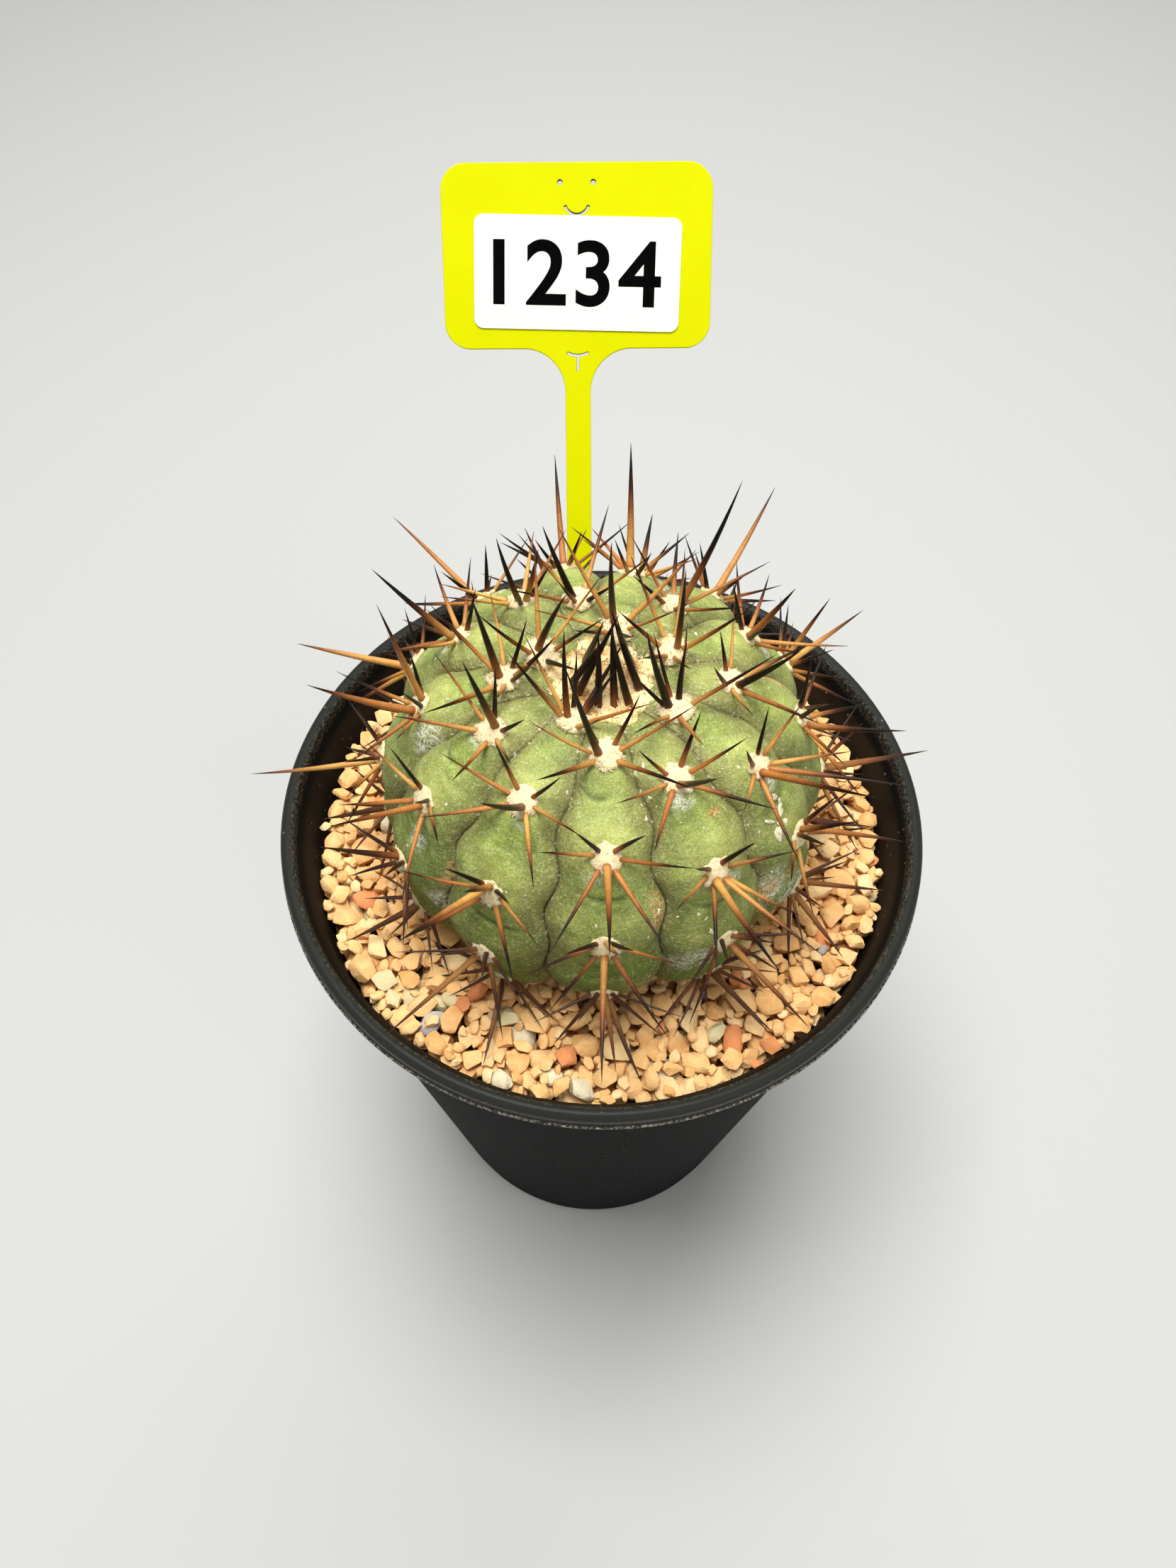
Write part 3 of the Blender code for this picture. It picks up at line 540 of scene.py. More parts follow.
# %% Felt cushions of the areoles
lump = new_shape("felt_lump", bpy.ops.mesh.primitive_uv_sphere_add, segments=24, ring_count=14)
small_lump = new_shape("small_lump", bpy.ops.mesh.primitive_uv_sphere_add, segments=12, ring_count=8)
draw_felt = random.Random(5)
fluff = bpy.data.textures.new("fluff", "CLOUDS")
fluff.noise_scale, fluff.noise_depth = 0.0007, 2
CUSHION_HAIRS, ARM_HAIRS, NEST_HAIRS = 340, 44, 130


def fluffed(pieces, name, strength, model):
    """Joins lumps of fibre and pushes their surface in and out."""
    joined = join_pieces(pieces, name, model)
    push = joined.modifiers.new("fluffed", "DISPLACE")
    push.texture, push.texture_coords = fluff, "GLOBAL"
    push.strength, push.mid_level = strength, 0.5
    bpy.ops.object.modifier_apply(modifier=push.name)
    bpy.ops.object.shade_smooth()
    return joined


cushions, felt_spots = [], []
for index, (arc, rib) in enumerate(areoles()):
    youth = 1 - fade_in(arc, 0.008, 0.026)
    here = skin_frame(arc, rib)
    size = Vector((0.00186 + 0.0004 * youth, 0.00198 + 0.0004 * youth, 0.00068 + 0.0004 * youth))
    place = laid_on(*here, size * draw_felt.uniform(0.92, 1.08), draw_felt.uniform(-0.5, 0.5))
    cushions.append(copy_of(lump, f"cushion_{index}", place))
    felt_spots.append((place, CUSHION_HAIRS, youth))
    for clock in (0, 60, 112, 162, 198, 248, 300):
        turn = math.radians(clock + draw_felt.uniform(-14, 14))
        reach = draw_felt.uniform(0.00125, 0.00165) + 0.0003 * youth
        centre = here[0] + (here[2] * math.cos(turn) + here[3] * math.sin(turn)) * reach
        wide = draw_felt.uniform(0.00048, 0.00072)
        place = laid_on(centre, *here[1:], (wide, wide * 1.2, 0.6 * wide), draw_felt.uniform(0, 3))
        cushions.append(copy_of(small_lump, f"arm_{index}_{clock}", place))
        felt_spots.append((place, ARM_HAIRS, youth))
felt = fluffed(cushions, "areole_felt", 0.00036, small_lump)
print("cushions:", len(felt_spots))

# %% [markdown]
# The hairs are slivers of two triangles, rooted anywhere on a cushion and leaning away from its
# middle. There are thousands of them, far too many to copy one by one, so their corners are listed
# and become one mesh.

# %% Loose hairs on the felt
HAIR_HALF_WIDTH = 0.000023


def hair_mesh(name, spots, draw):
    """One mesh of slivers. Each spot is a placed unit ball, how many hairs it has and their length."""
    corners, faces = [], []
    for place, count, length in spots:
        turn = place.to_3x3()
        for _ in range(count):
            angle = draw.uniform(0, 2 * math.pi)
            high = draw.uniform(0.0, 0.97)
            flat = math.sqrt(1 - high * high)
            ball = Vector((math.cos(angle) * flat, math.sin(angle) * flat, high))
            root = place @ (ball * 0.95)
            stray = Vector([draw.gauss(0, 0.5) for _ in range(3)])
            out = ((turn @ ball).normalized() + stray).normalized()
            wide = out.cross(Vector([draw.gauss(0, 1) for _ in range(3)])).normalized() * HAIR_HALF_WIDTH
            reach = length * draw.uniform(0.5, 1.25)
            curl = Vector([draw.gauss(0, 0.3) for _ in range(3)]) * reach
            first = len(corners)
            corners += [root - wide, root + wide, root + out * reach * 0.55 + wide * 0.7]
            corners += [root + out * reach + curl]
            faces += [(first, first + 1, first + 2), (first, first + 2, first + 3)]
    mesh = bpy.data.meshes.new(name)
    mesh.from_pydata(corners, [], faces)
    return new_piece(name, mesh)


hair_spots = [(place, count, 0.00031 + 0.00022 * youth) for place, count, youth in felt_spots]
hairs = hair_mesh("areole_hairs", hair_spots, random.Random(17))
print("hairs on the felt:", len(hairs.data.polygons) // 2)

# %% [markdown]
# The growing point sits in a nest of wool that the youngest areoles share. It is tan where it is
# old and dusty in the middle, and cream at its edge. It is made as the cushions are, from larger
# lumps that overlap, in the pattern of a sunflower's seeds, with longer hairs.

# %% Wool of the crown
draw_wool = random.Random(23)
nests, nest_spots = [], []
NESTS, NEST_RADIUS, SUNFLOWER_TURN = 30, 0.0068, 2.39996
for index in range(NESTS):
    away = NEST_RADIUS * math.sqrt(index / NESTS)
    angle = SUNFLOWER_TURN * index
    out = Vector((math.sin(angle), -math.cos(angle), 0.0))
    centre = PLANT_CENTRE + out * away + UP * (meridian(away)[1] - 0.0002)
    size = Vector((draw_wool.uniform(0.0015, 0.0021), draw_wool.uniform(0.0015, 0.0021), 0.0012))
    place = Matrix.Translation(centre) @ Matrix.Rotation(draw_wool.uniform(0, 3), 4, "Z")
    place = place @ Matrix.Diagonal((*size, 1.0))
    nests.append(copy_of(lump, f"nest_{index}", place))
    nest_spots.append((place, NEST_HAIRS, 0.0008))
wool = fluffed(nests, "crown_wool", 0.0009, lump)
wool_hairs = hair_mesh("crown_hairs", nest_spots, random.Random(29))
print("wool lumps:", len(nest_spots))

# %% [markdown]
# Felt and wool are fine white to cream fibres that scatter light, so the finish is fully rough with
# a little subsurface. A bump of about 0.25 mm makes the tufts. Patches darken towards tan and grains
# of soil have lodged, more so in the crown.

# %% Cream felt and tan wool
def fibre_material(name, pale, dark, patch_scale, patch_start, soil_start):
    made, add, shader, where = new_material(
        name, Roughness=0.95, Specular_IOR_Level=0.1, Subsurface_Weight=0.15, Subsurface_Scale=0.0006
    )
    patches = add("TexNoise", where, patch_scale, 5.0)
    share = add("MapRange", patches, patch_start, patch_start + 0.22)
    colour = add("Mix", share, pale, dark)
    tufts = add("TexNoise", where, 4000.0, 3.0)
    soil = add("TexNoise", where, 1900.0, 2.0)
    soil = add("MapRange", soil, soil_start, soil_start + 0.05, 0.0, 0.8)
    colour = add("Mix", soil, colour, "#5a3c1e")
    bump = add("Bump", Strength=0.7, Distance=0.00018, Height=tufts)
    feed(shader, Base_Color=colour, Normal=bump)
    return made


areole_fibre = fibre_material("cream_felt", "#e2d1a6", "#ccae7c", 800.0, 0.58, 0.74)
crown_fibre = fibre_material("tan_wool", "#efd8a2", "#cb9a56", 420.0, 0.46, 0.68)
for fibre, pieces in ((areole_fibre, (felt, hairs)), (crown_fibre, (wool, wool_hairs))):
    for piece in pieces:
        finish_piece(piece, fibre, "cactus_skin")

# %% [markdown]
# The spines are the same ones that the solid has, drawn from the same seeded numbers, so each one
# lies along its solid. Where the front shows a central spine, it is turned as it is there. Real
# areoles hold a few more: two short ones at the top, and a second central one at about a fifth of
# them, and these come from a draw of their own. Beside its place, each spine gets a width and the
# share of its length at which it turns dark: early on young and short spines, late on old ones.

# %% Where the spines stand
SPINE_ROOT_DEPTH, SPINE_ROOT_SPREAD, SPINE_GRIT_CLEARANCE = 0.0004, 0.0007, 0.0026
RADIAL_PLAN = ((-138, 26, 0.0124, 1), (138, 26, 0.0124, 1), (-84, 30, 0.0108, 1), (84, 30, 0.0108, 1))
UPPER_PLAN = ((-38, 44, 0.0082, 1), (38, 44, 0.0082, 1))
CENTRAL_RISE, CENTRAL_DROOP, CENTRAL_LENGTH = 76, 12, 0.0180
# Central spines seen from the front: rib and mm from the crown, then degrees round, rise and length
SEEN_CENTRALS = {
    (0, 13): (-109, 77, 0.0202), (0, 27): (178, 77, 0.0205), (1, 19): (-156, 76, 0.0159),
    (2, 11): (-45, 78, 0.0160), (2, 25): (-128, 71, 0.0205), (2, 38): (53, 81, 0.0147),
    (3, 18): (-127, 69, 0.0147), (3, 31): (-119, 64, 0.0146), (4, 11): (-143, 80, 0.0177),
    (4, 24): (-42, 62, 0.0135), (6, 9): (145, 85, 0.0205), (7, 14): (85, 72, 0.0156),
    (8, 19): (45, 73, 0.0135), (9, 10): (165, 89, 0.0146), (9, 23): (121, 77, 0.0162),
    (10, 14): (166, 86, 0.0174), (10, 27): (124, 73, 0.0164), (11, 18): (6, 84, 0.0166),
    (11, 31): (125, 83, 0.0152), (11, 44): (-22, 59, 0.0135), (12, 8): (-142, 74, 0.0160),
    (12, 22): (148, 83, 0.0171), (12, 35): (-56, 80, 0.0171),
}
SECOND_CENTRALS = {
    (2, 11): (90, 78, 0.0105), (10, 27): (0, 51, 0.0195),
    (1, 32): (165, 58, 0.0170), (2, 25): (150, 52, 0.0165),
}
# Half widths at the foot, in metres
CENTRAL_HALF, SECOND_HALF, LOWER_HALF, SIDE_HALF, UPPER_HALF = 0.00054, 0.00046, 0.00038, 0.00031, 0.00036
CROWN_HALF = 0.00060
CROWN_SPINES, CROWN_RING, CROWN_RING_WIDTH = 9, 0.0042, 0.0016
CROWN_MEETING_WIDTH, CROWN_MEETING_HEIGHT = 0.0013, 0.0128
print("central spines seen from the front:", len(SEEN_CENTRALS))

# %% Room round the spines
SPINE_GAP, RIM_GAP, STAKE_SIDE = 0.0028, 0.002, 0.0045
SHORTEST_SPINE, SHORTENED = 0.003, 0.94
LABEL_FOOT, LABEL_LEAN = Vector((-0.0042, 0.0424, POT_HEIGHT)), math.radians(40.0)
BASE_RADIUS, LIP_HEIGHT, WALL_TOP_RADIUS = 0.0338, 0.0034, 0.0474


def wall_radius(height):
    """Outer radius of the pot's tapered wall."""
    return BASE_RADIUS + (WALL_TOP_RADIUS - BASE_RADIUS) * height / (POT_HEIGHT - LIP_HEIGHT)


def kept_clear(root, direction, length):
    """Lifts a spine off the grit, and shortens it where it would reach the pot or the label."""
    lowest = GRIT_TOP + SPINE_GRIT_CLEARANCE
    if (root + direction * length).z < lowest:
        rise = (lowest - root.z) / length
        flat = Vector((direction.x, direction.y, 0.0)).normalized()
        direction = (flat * math.sqrt(max(1 - rise * rise, 0.01)) + UP * rise).normalized()
    free_radius = wall_radius(GRIT_TOP) - SPINE_GAP
    while length > SHORTEST_SPINE:
        tip = root + direction * length
        clear_of_pot = tip.z > POT_HEIGHT + RIM_GAP or math.hypot(tip.x, tip.y) < free_radius
        stake = LABEL_FOOT.y + (tip.z - POT_HEIGHT) * math.tan(LABEL_LEAN)
        if clear_of_pot and (abs(tip.x - LABEL_FOOT.x) > STAKE_SIDE or tip.y < stake - SPINE_GAP):
            break
        length *= SHORTENED
    return direction, length


print("radius of the pot at the grit:", round(1000 * wall_radius(GRIT_TOP), 1), "mm")

# %% Draw the spines
def central_plan(arc, rib):
    """Degrees round from up the rib, rise and length of a central spine, and how much these may vary."""
    seen = SEEN_CENTRALS.get((rib, round(1000 * arc)))
    if seen:
        return (*seen, 0)
    return 180, CENTRAL_RISE - CENTRAL_DROOP * fade_in(arc, 0.030, 0.042), CENTRAL_LENGTH, 1


def spine_at(frame_here, plan, youth, draw, central=False):
    """(root, direction, length) of one spine."""
    centre, normal, up, across = frame_here
    clock, rise, length, varies = plan
    clock_sway, rise_sway, growth = draw.uniform(-11, 11), draw.uniform(-7, 7), draw.uniform(0.86, 1.12)
    clock = math.radians(clock + varies * clock_sway * (5 if central else 1))
    rise = math.radians(rise + varies * rise_sway + (0 if central else 14 * youth))
    length *= (growth if varies else 1) * (1 if central else 1 + 0.20 * youth)
    outward = up * math.cos(clock) + across * math.sin(clock)
    direction = (outward * math.cos(rise) + normal * math.sin(rise)).normalized()
    root = centre - normal * SPINE_ROOT_DEPTH + outward * SPINE_ROOT_SPREAD
    return (root, *kept_clear(root, direction, length))


draw, extra_draw, tone_draw = random.Random(13), random.Random(41), random.Random(9)
spines = []
for arc, rib in areoles():
    here = skin_frame(arc, rib)
    youth = 1 - fade_in(arc, 0.007, 0.020)
    age = fade_in(arc, 0.012, 0.036)
    weathered = 0.22 * fade_in(arc, 0.036, 0.048)
    central = spine_at(here, central_plan(arc, rib), youth, draw, central=True)
    places = [(central, CENTRAL_HALF, 0.22 + 0.52 * age - weathered)]
    for plan in RADIAL_PLAN:
        thick = LOWER_HALF if abs(plan[0]) > 100 else SIDE_HALF
        places.append((spine_at(here, plan, youth, draw), thick, 0.76 - 0.10 * age - weathered))
    for plan in UPPER_PLAN:
        places.append((spine_at(here, plan, youth, extra_draw), UPPER_HALF, 0.30))
    second = SECOND_CENTRALS.get((rib, round(1000 * arc)))
    if extra_draw.random() < 0.2 or second:
        plan = (*(second or (0, 56, 0.0130)), 1)
        places.append((spine_at(here, plan, 0.0, extra_draw), SECOND_HALF, 0.30 + 0.40 * age))
    for (root, direction, length), thick, dark in places:
        dark += tone_draw.uniform(-0.30, 0.20)
        spines.append((root, direction, length, thick * tone_draw.uniform(0.88, 1.1), dark, arc))
for i in range(CROWN_SPINES):
    angle = math.radians(137.5) * i + 0.4
    ring = CROWN_RING + CROWN_RING_WIDTH * (0.618 * i % 1.0)
    away = Vector((math.sin(angle), -math.cos(angle), 0.0))
    root = PLANT_CENTRE + away * ring + UP * (meridian(ring)[1] - 0.0010)
    aside = Vector((draw.uniform(-1, 1), draw.uniform(-1, 1), 0.0)) * CROWN_MEETING_WIDTH
    meeting = PLANT_CENTRE + aside + UP * (meridian(0.0)[1] + CROWN_MEETING_HEIGHT)
    reach = meeting - root
    length = reach.length * draw.uniform(0.96, 1.34)
    spines.append((root, reach.normalized(), length, CROWN_HALF, tone_draw.uniform(0.10, 0.22), 0.0))
print("spines:", len(spines))

# %% [markdown]
# A spine is horn: round, stiff, a little swollen at its foot and drawn out to a needle. One is
# modelled as a cylinder cut into rings, and each copy is tapered, bent a little along its length
# and turned into place. It carries how far along it each point is, so that one finish can take all
# of them from amber to black.

# %% The spines
STATIONS = (0.0, 0.05, 0.11, 0.22, 0.36, 0.52, 0.68, 0.83, 0.94, 1.0)
WIDTHS = (1.24, 1.20, 1.0, 0.93, 0.84, 0.71, 0.54, 0.33, 0.15, 0.04)
model_spine = new_shape(
    "model_spine", bpy.ops.mesh.primitive_cylinder_add, vertices=8, depth=1.0, end_fill_type="TRIFAN"
)
bpy.ops.object.mode_set(mode="EDIT")
for station in STATIONS[1:-1]:
    bpy.ops.mesh.select_all(action="SELECT")
    bpy.ops.mesh.bisect(plane_co=(0, 0, station - 0.5), plane_no=(0, 0, 1))
bpy.ops.object.mode_set(mode="OBJECT")
shape = corners_of(model_spine)
along = shape[:, 2] + 0.5
width = np.interp(along, STATIONS, WIDTHS)
draw_bend = random.Random(3)
copies = []
for index, (root, direction, length, thick, dark, arc) in enumerate(spines):
    side = direction.cross(UP).normalized()
    bow = direction.cross(side) * draw_bend.gauss(-0.03, 0.035) + side * draw_bend.gauss(0, 0.03)
    turn = np.array(direction.to_track_quat("Z", "Y").to_matrix())
    local = np.column_stack((shape[:, 0] * width * thick, shape[:, 1] * width * thick, along * length))
    points = local @ turn.T + np.array(root) + np.outer(along**2 * length, np.array(bow))
    copy = copy_of(model_spine, f"spine_{index}", points)
    measures = {"past_dark": along - dark, "along_mm": along * length * 1000, "age_mm": arc * 1000}
    mark(copy, lot=draw_bend.random(), **measures)
    copies.append(copy)
spine_piece = join_pieces(copies, "spines", model_spine)
bpy.ops.object.shade_smooth()
print("spines joined:", len(copies))

# %% [markdown]
# Spine horn is golden amber at the foot, then red brown, then black to the tip, with faint rings
# about half a millimetre apart. It is brown where it leaves the felt, and the lowest spines
# have weathered to a dull grey brown. It is smooth enough to catch a thin highlight.

# %% Horn of the spines
spine_material, add, shader, where = new_material(
    "spine_horn", Roughness=0.40, IOR=1.54, Specular_IOR_Level=0.18
)
measures = ("past_dark", "along_mm", "age_mm", "lot")
past, along_mm, age_mm, lot = [add("Attribute", attribute_name=name).outputs["Fac"] for name in measures]
colour = add("Mix", lot, "#d09d50", "#ac6b35")
for measure, start, end, strength, shade in (
    (past, -0.44, -0.10, 0.90, "#80481f"),
    (past, -0.14, 0.06, 1.0, "#48220f"),
    (past, 0.0, 0.20, 1.0, "#120904"),
    (age_mm, 36.0, 54.0, 0.62, "#573a2c"),
    (along_mm, 1.9, 1.2, 0.65, "#7d4520"),
):
    colour = add("Mix", add("MapRange", measure, start, end, 0.0, strength), colour, shade)
turns = add("Math", along_mm, 12.0, operation="MULTIPLY")
streaks = add("TexNoise", where, 900.0, 3.0)
turns = add("Math", streaks, 16.0, turns, operation="MULTIPLY_ADD")
rings = add("Math", turns, operation="SINE")
for pattern, low, high, dark, pale in ((rings, -1.0, 1.0, 0.93, 1.05), (streaks, 0.3, 0.7, 0.88, 1.12)):
    tone = add("MapRange", pattern, low, high, dark, pale)
    colour = add("Mix", 1.0, colour, tone, blend_type="MULTIPLY")
bump = add("Bump", Strength=0.15, Distance=0.00005, Height=rings)
feed(shader, Base_Color=colour, Normal=bump)
finish_piece(spine_piece, spine_material, "cactus_skin")

# %% [markdown]
# Cream flecks of dead scale stick to the skin, largest in one patch on the right and small
# elsewhere. One chip is modelled as a squashed ball with an uneven rim and copied, flat on
# the skin, by a seeded draw of ribs and places.

# %% Flecks on the skin
chip = new_shape("chip", bpy.ops.mesh.primitive_ico_sphere_add, subdivisions=2)
draw_fleck = random.Random(77)
# Rib, place across it, m from the crown, and size in mm, of those that are seen
seen_flecks = (
    (2, -0.05, 0.0300, 0.66), (2, -0.06, 0.0322, 0.58), (2, -0.24, 0.0322, 0.50), (2, -0.22, 0.0345, 0.80),
    (2, -0.10, 0.0342, 0.48), (2, -0.14, 0.0300, 0.44), (1, 0.25, 0.0357, 0.50), (1, -0.20, 0.0382, 0.56),
    (1, -0.15, 0.0303, 0.24), (1, -0.12, 0.0420, 0.40), (0, 0.42, 0.0362, 0.34), (2, -0.20, 0.0226, 0.30),
    (2, -0.02, 0.0312, 0.40), (2, -0.17, 0.0333, 0.36), (11, 0.02, 0.0400, 0.44), (12, 0.10, 0.0245, 0.34),
)
spots = [(rib, across, arc, 0.001 * size) for rib, across, arc, size in seen_flecks]
SMALL_FLECKS = 240
for _ in range(SMALL_FLECKS):
    along_body = draw_fleck.uniform(0.012, 0.056)
    size = 0.001 * draw_fleck.choice((0.09, 0.11, 0.14, 0.14, 0.20, 0.30))
    spots.append((draw_fleck.randrange(RIBS), draw_fleck.uniform(-0.5, 0.5), along_body, size))
chip_rim = [1 - math.hypot(vert.co.x, vert.co.y) for vert in chip.data.vertices]
flecks = []
for index, (rib, across, arc, size) in enumerate(spots):
    long_size = (size * draw_fleck.uniform(0.5, 0.9), size * draw_fleck.uniform(0.9, 1.7), 0.12 * size)
    place = laid_on(*skin_frame(arc, rib, across), long_size, draw_fleck.uniform(-0.9, 0.9))
    torn = []
    for vert in chip.data.vertices:
        x, y, z = vert.co
        rim = 1 + 0.9 * noise.noise(Vector((1.9 * x, 1.9 * y, 2.3 * index)))
        torn.append(place @ Vector((x * rim, y * rim, z)))
    copy = copy_of(chip, f"fleck_{index}", np.array(torn))
    mark(copy, from_rim=chip_rim)
    flecks.append(copy)
fleck_piece = join_pieces(flecks, "flecks", chip)
bpy.ops.object.shade_smooth()
fleck_material, add, shader, where = new_material("dry_scale", Roughness=0.9, Specular_IOR_Level=0.2)
middle = add("Attribute", attribute_name="from_rim").outputs["Fac"]
grime = add("TexNoise", where, 2200.0, 3.0)
share = add("MapRange", middle, 0.45, 0.85, 0.0, 0.7)
colour = add("Mix", grime, "#efe9cf", "#d9cda0")
colour = add("Mix", share, colour, "#b89a5c")
bump = add("Bump", Strength=0.5, Distance=0.0001, Height=grime)
feed(shader, Base_Color=colour, Normal=bump)
finish_piece(fleck_piece, fleck_material, "cactus_skin")

# %% [markdown]
# The pot is one thin moulding: a tapered wall, a flat floor with eight holes and a rolled lip. Such
# a shape is turned, so its outline is drawn as a line of points and spun round the pot's axis, and
# the holes are cut out of its floor. The lip is a full round, with a thin ledge round its lower edge.

# %% The pot
RIM_RADIUS, LIP_INNER_RADIUS, LIP_LEDGE = 0.050, 0.0476, 0.0003
WALL, FLOOR, SPIN_STEPS = 0.0012, 0.0016, 144
HOLES, HOLE_CIRCLE, HOLE_RADIUS = 8, 0.0225, 0.004


def arc_points(centre, radius, start, end, count):
    """Points of an arc, angles in degrees."""
    angles = [math.radians(start + (end - start) * i / count) for i in range(count + 1)]
    return [(centre[0] + radius * math.cos(a), centre[1] + radius * math.sin(a)) for a in angles]


lip = RIM_RADIUS - LIP_LEDGE - LIP_INNER_RADIUS
skirt = POT_HEIGHT - LIP_HEIGHT
inner = wall_radius(FLOOR) - WALL
outline = [(0.0, FLOOR), (inner - 0.001, FLOOR), (inner - 0.0003, FLOOR + 0.0003), (inner, FLOOR + 0.001)]
outline += [(wall_radius(z) - WALL, z) for z in (0.03, 0.06, 0.09, skirt - 0.001)]
outline += [(LIP_INNER_RADIUS - 0.0003, skirt + 0.0008), (LIP_INNER_RADIUS - 0.00005, POT_HEIGHT - 0.0016)]
outline += arc_points((LIP_INNER_RADIUS + lip / 2, POT_HEIGHT - lip / 2), lip / 2, 175.0, 5.0, 12)
ledge = ((-0.35, 0.9), (-0.20, 0.7), (-0.05, 0.6), (0.0, 0.4), (-0.1, 0.1), (-0.5, 0.0), (-0.9, 0.2))
outline += [(RIM_RADIUS + 0.001 * out, skirt + 0.001 * up) for out, up in ledge]
outline += [(WALL_TOP_RADIUS + 0.0006, skirt + 0.0004), (WALL_TOP_RADIUS, skirt)]
outline += [(wall_radius(z), z) for z in (0.09, 0.06, 0.03, 0.006)]
outline += [(BASE_RADIUS, 0.0012), (BASE_RADIUS - 0.0003, 0.0003), (BASE_RADIUS - 0.0011, 0.0), (0.0, 0.0)]
line_mesh = bpy.data.meshes.new("pot_shell")
line_mesh.from_pydata([(r, 0.0, z) for r, z in outline], [(i, i + 1) for i in range(len(outline) - 1)], [])
pot = new_piece("pot_shell", line_mesh)
bpy.ops.object.mode_set(mode="EDIT")
bpy.ops.mesh.select_all(action="SELECT")
bpy.ops.mesh.spin(steps=SPIN_STEPS, angle=2 * math.pi, center=(0, 0, 0), axis=(0, 0, 1), use_auto_merge=True)
bpy.ops.mesh.select_all(action="SELECT")
bpy.ops.mesh.remove_doubles(threshold=0.00001)
bpy.ops.mesh.normals_make_consistent(inside=False)
bpy.ops.object.mode_set(mode="OBJECT")
holes = []
for i in range(HOLES):
    angle = 2 * math.pi * (i + 0.5) / HOLES
    sizes = {"vertices": 32, "radius": HOLE_RADIUS, "depth": 0.012}
    sizes["location"] = (HOLE_CIRCLE * math.cos(angle), HOLE_CIRCLE * math.sin(angle), 0.0)
    holes.append(new_shape(f"hole_{i}", bpy.ops.mesh.primitive_cylinder_add, **sizes))
drill = join_pieces(holes, "drill")
cut = pot.modifiers.new("drained", "BOOLEAN")
cut.operation, cut.solver, cut.object = "DIFFERENCE", "EXACT", drill
select_only(pot)
bpy.ops.object.modifier_apply(modifier=cut.name)
bpy.data.objects.remove(drill)
bpy.ops.object.shade_smooth_by_angle(angle=math.radians(38))
print("pot outline points:", len(outline))

# %% [markdown]
# Nursery pots are moulded from black polypropylene, a soft-sheened plastic that scuffs and holds
# dust. The rolled lip is painted a lighter grey than the wall, and its outer half lighter still, as
# painted sheen. The wall has a fine moulded grain of about 0.4 mm. Pale dust lies in specks along the
# lower and inner edges of the lip, and the inside above the grit is browned with soil.

# %% Black polypropylene
pot_material, add, shader, where = new_material("black_polypropylene", IOR=1.49, Specular_IOR_Level=0.06)
axes = add("SeparateXYZ", where)
flat_out = add("CombineXYZ", axes.outputs["X"], axes.outputs["Y"])
out = add("VectorMath", flat_out, operation="LENGTH").outputs["Value"]
out_mm = add("Math", out, 1000.0, operation="MULTIPLY")
up_mm = add("Math", axes.outputs["Z"], 1000.0, operation="MULTIPLY")
cloudy = add("TexNoise", where, 60.0, 5.0)
colour = add("Mix", cloudy, "#060606", "#0f100e")
past_round = add("MapRange", out_mm, 47.5, 48.0)
on_lip = add("Math", past_round, add("MapRange", up_mm, 113.0, 113.6), operation="MULTIPLY")
# Painted sheen: the lip is painted lighter grey than the wall, and its outer band lighter still.
colour = add("Mix", on_lip, colour, "#262622")
painted_outer_sheen = add("MapRange", out_mm, 49.1, 49.8)
painted_outer_sheen = add("Math", painted_outer_sheen, on_lip, operation="MULTIPLY")
colour = add("Mix", painted_outer_sheen, colour, "#302f2b")
outer_wall = add("MapRange", up_mm, 0.0, 1000 * skirt, 1000 * BASE_RADIUS, 1000 * WALL_TOP_RADIUS)
past_wall = add("Math", out_mm, outer_wall, operation="SUBTRACT")
soiled = add("MapRange", cloudy, 0.35, 0.62, 0.25, 0.85)
for measure, start, end in ((out_mm, 47.5, 46.9), (past_wall, -0.5, -0.9), (up_mm, 95.0, 104.0)):
    soiled = add("Math", soiled, add("MapRange", measure, start, end), operation="MULTIPLY")
colour = add("Mix", soiled, colour, "#2a2116")
dusty = 0.0
for measure, middle, gate, start, end, strength in (
    (up_mm, 1000 * skirt + 0.55, out_mm, 49.65, 49.85, 1.0),
    (out_mm, 1000 * LIP_INNER_RADIUS + 0.1, up_mm, 114.6, 115.2, 0.22),
    (up_mm, 1000 * skirt + 2.0, out_mm, 49.3, 49.7, 0.30),
):
    off = add("Math", add("Math", measure, middle, operation="SUBTRACT"), operation="ABSOLUTE")
    gate = add("MapRange", gate, start, end, 0.0, strength)
    band = add("Math", add("MapRange", off, 0.60, 0.15), gate, operation="MULTIPLY")
    dusty = add("Math", dusty, band, operation="MAXIMUM")
specks = add("MapRange", add("TexNoise", where, 2300.0, 4.0, 0.7), 0.47, 0.60, 0.0, 0.45)
dusty = add("Math", dusty, specks, operation="MULTIPLY")
grains = add("TexVoronoi", where, 420.0).outputs["Distance"]
grains = add("MapRange", grains, 0.10, 0.04, 0.0, 0.18)
dusty = add("Math", dusty, grains, operation="MAXIMUM")
colour = add("Mix", dusty, colour, "#d6cdb6")
rough = add("MapRange", on_lip, 0.0, 1.0, 0.70, 0.32)
grain = add("TexNoise", where, 2400.0, 3.0)
bump = add("Bump", Strength=0.5, Distance=0.00006, Height=grain)
feed(shader, Base_Color=colour, Roughness=rough, Normal=bump)
finish_piece(pot, pot_material, "pot", "pot")

# %% [markdown]
# The stones could be one bumpy surface, as the solid has, but real grit is loose and shows gaps and
# overlaps. Twelve stones are modelled as small balls with flat faces cut off them by bisecting
# planes, as broken rock has. They are then dropped one by one: a map holds the height of the heap,
# each stone tries some places and settles at the lowest one, and the map rises by its shape. The
# small ones come last and fill the gaps.

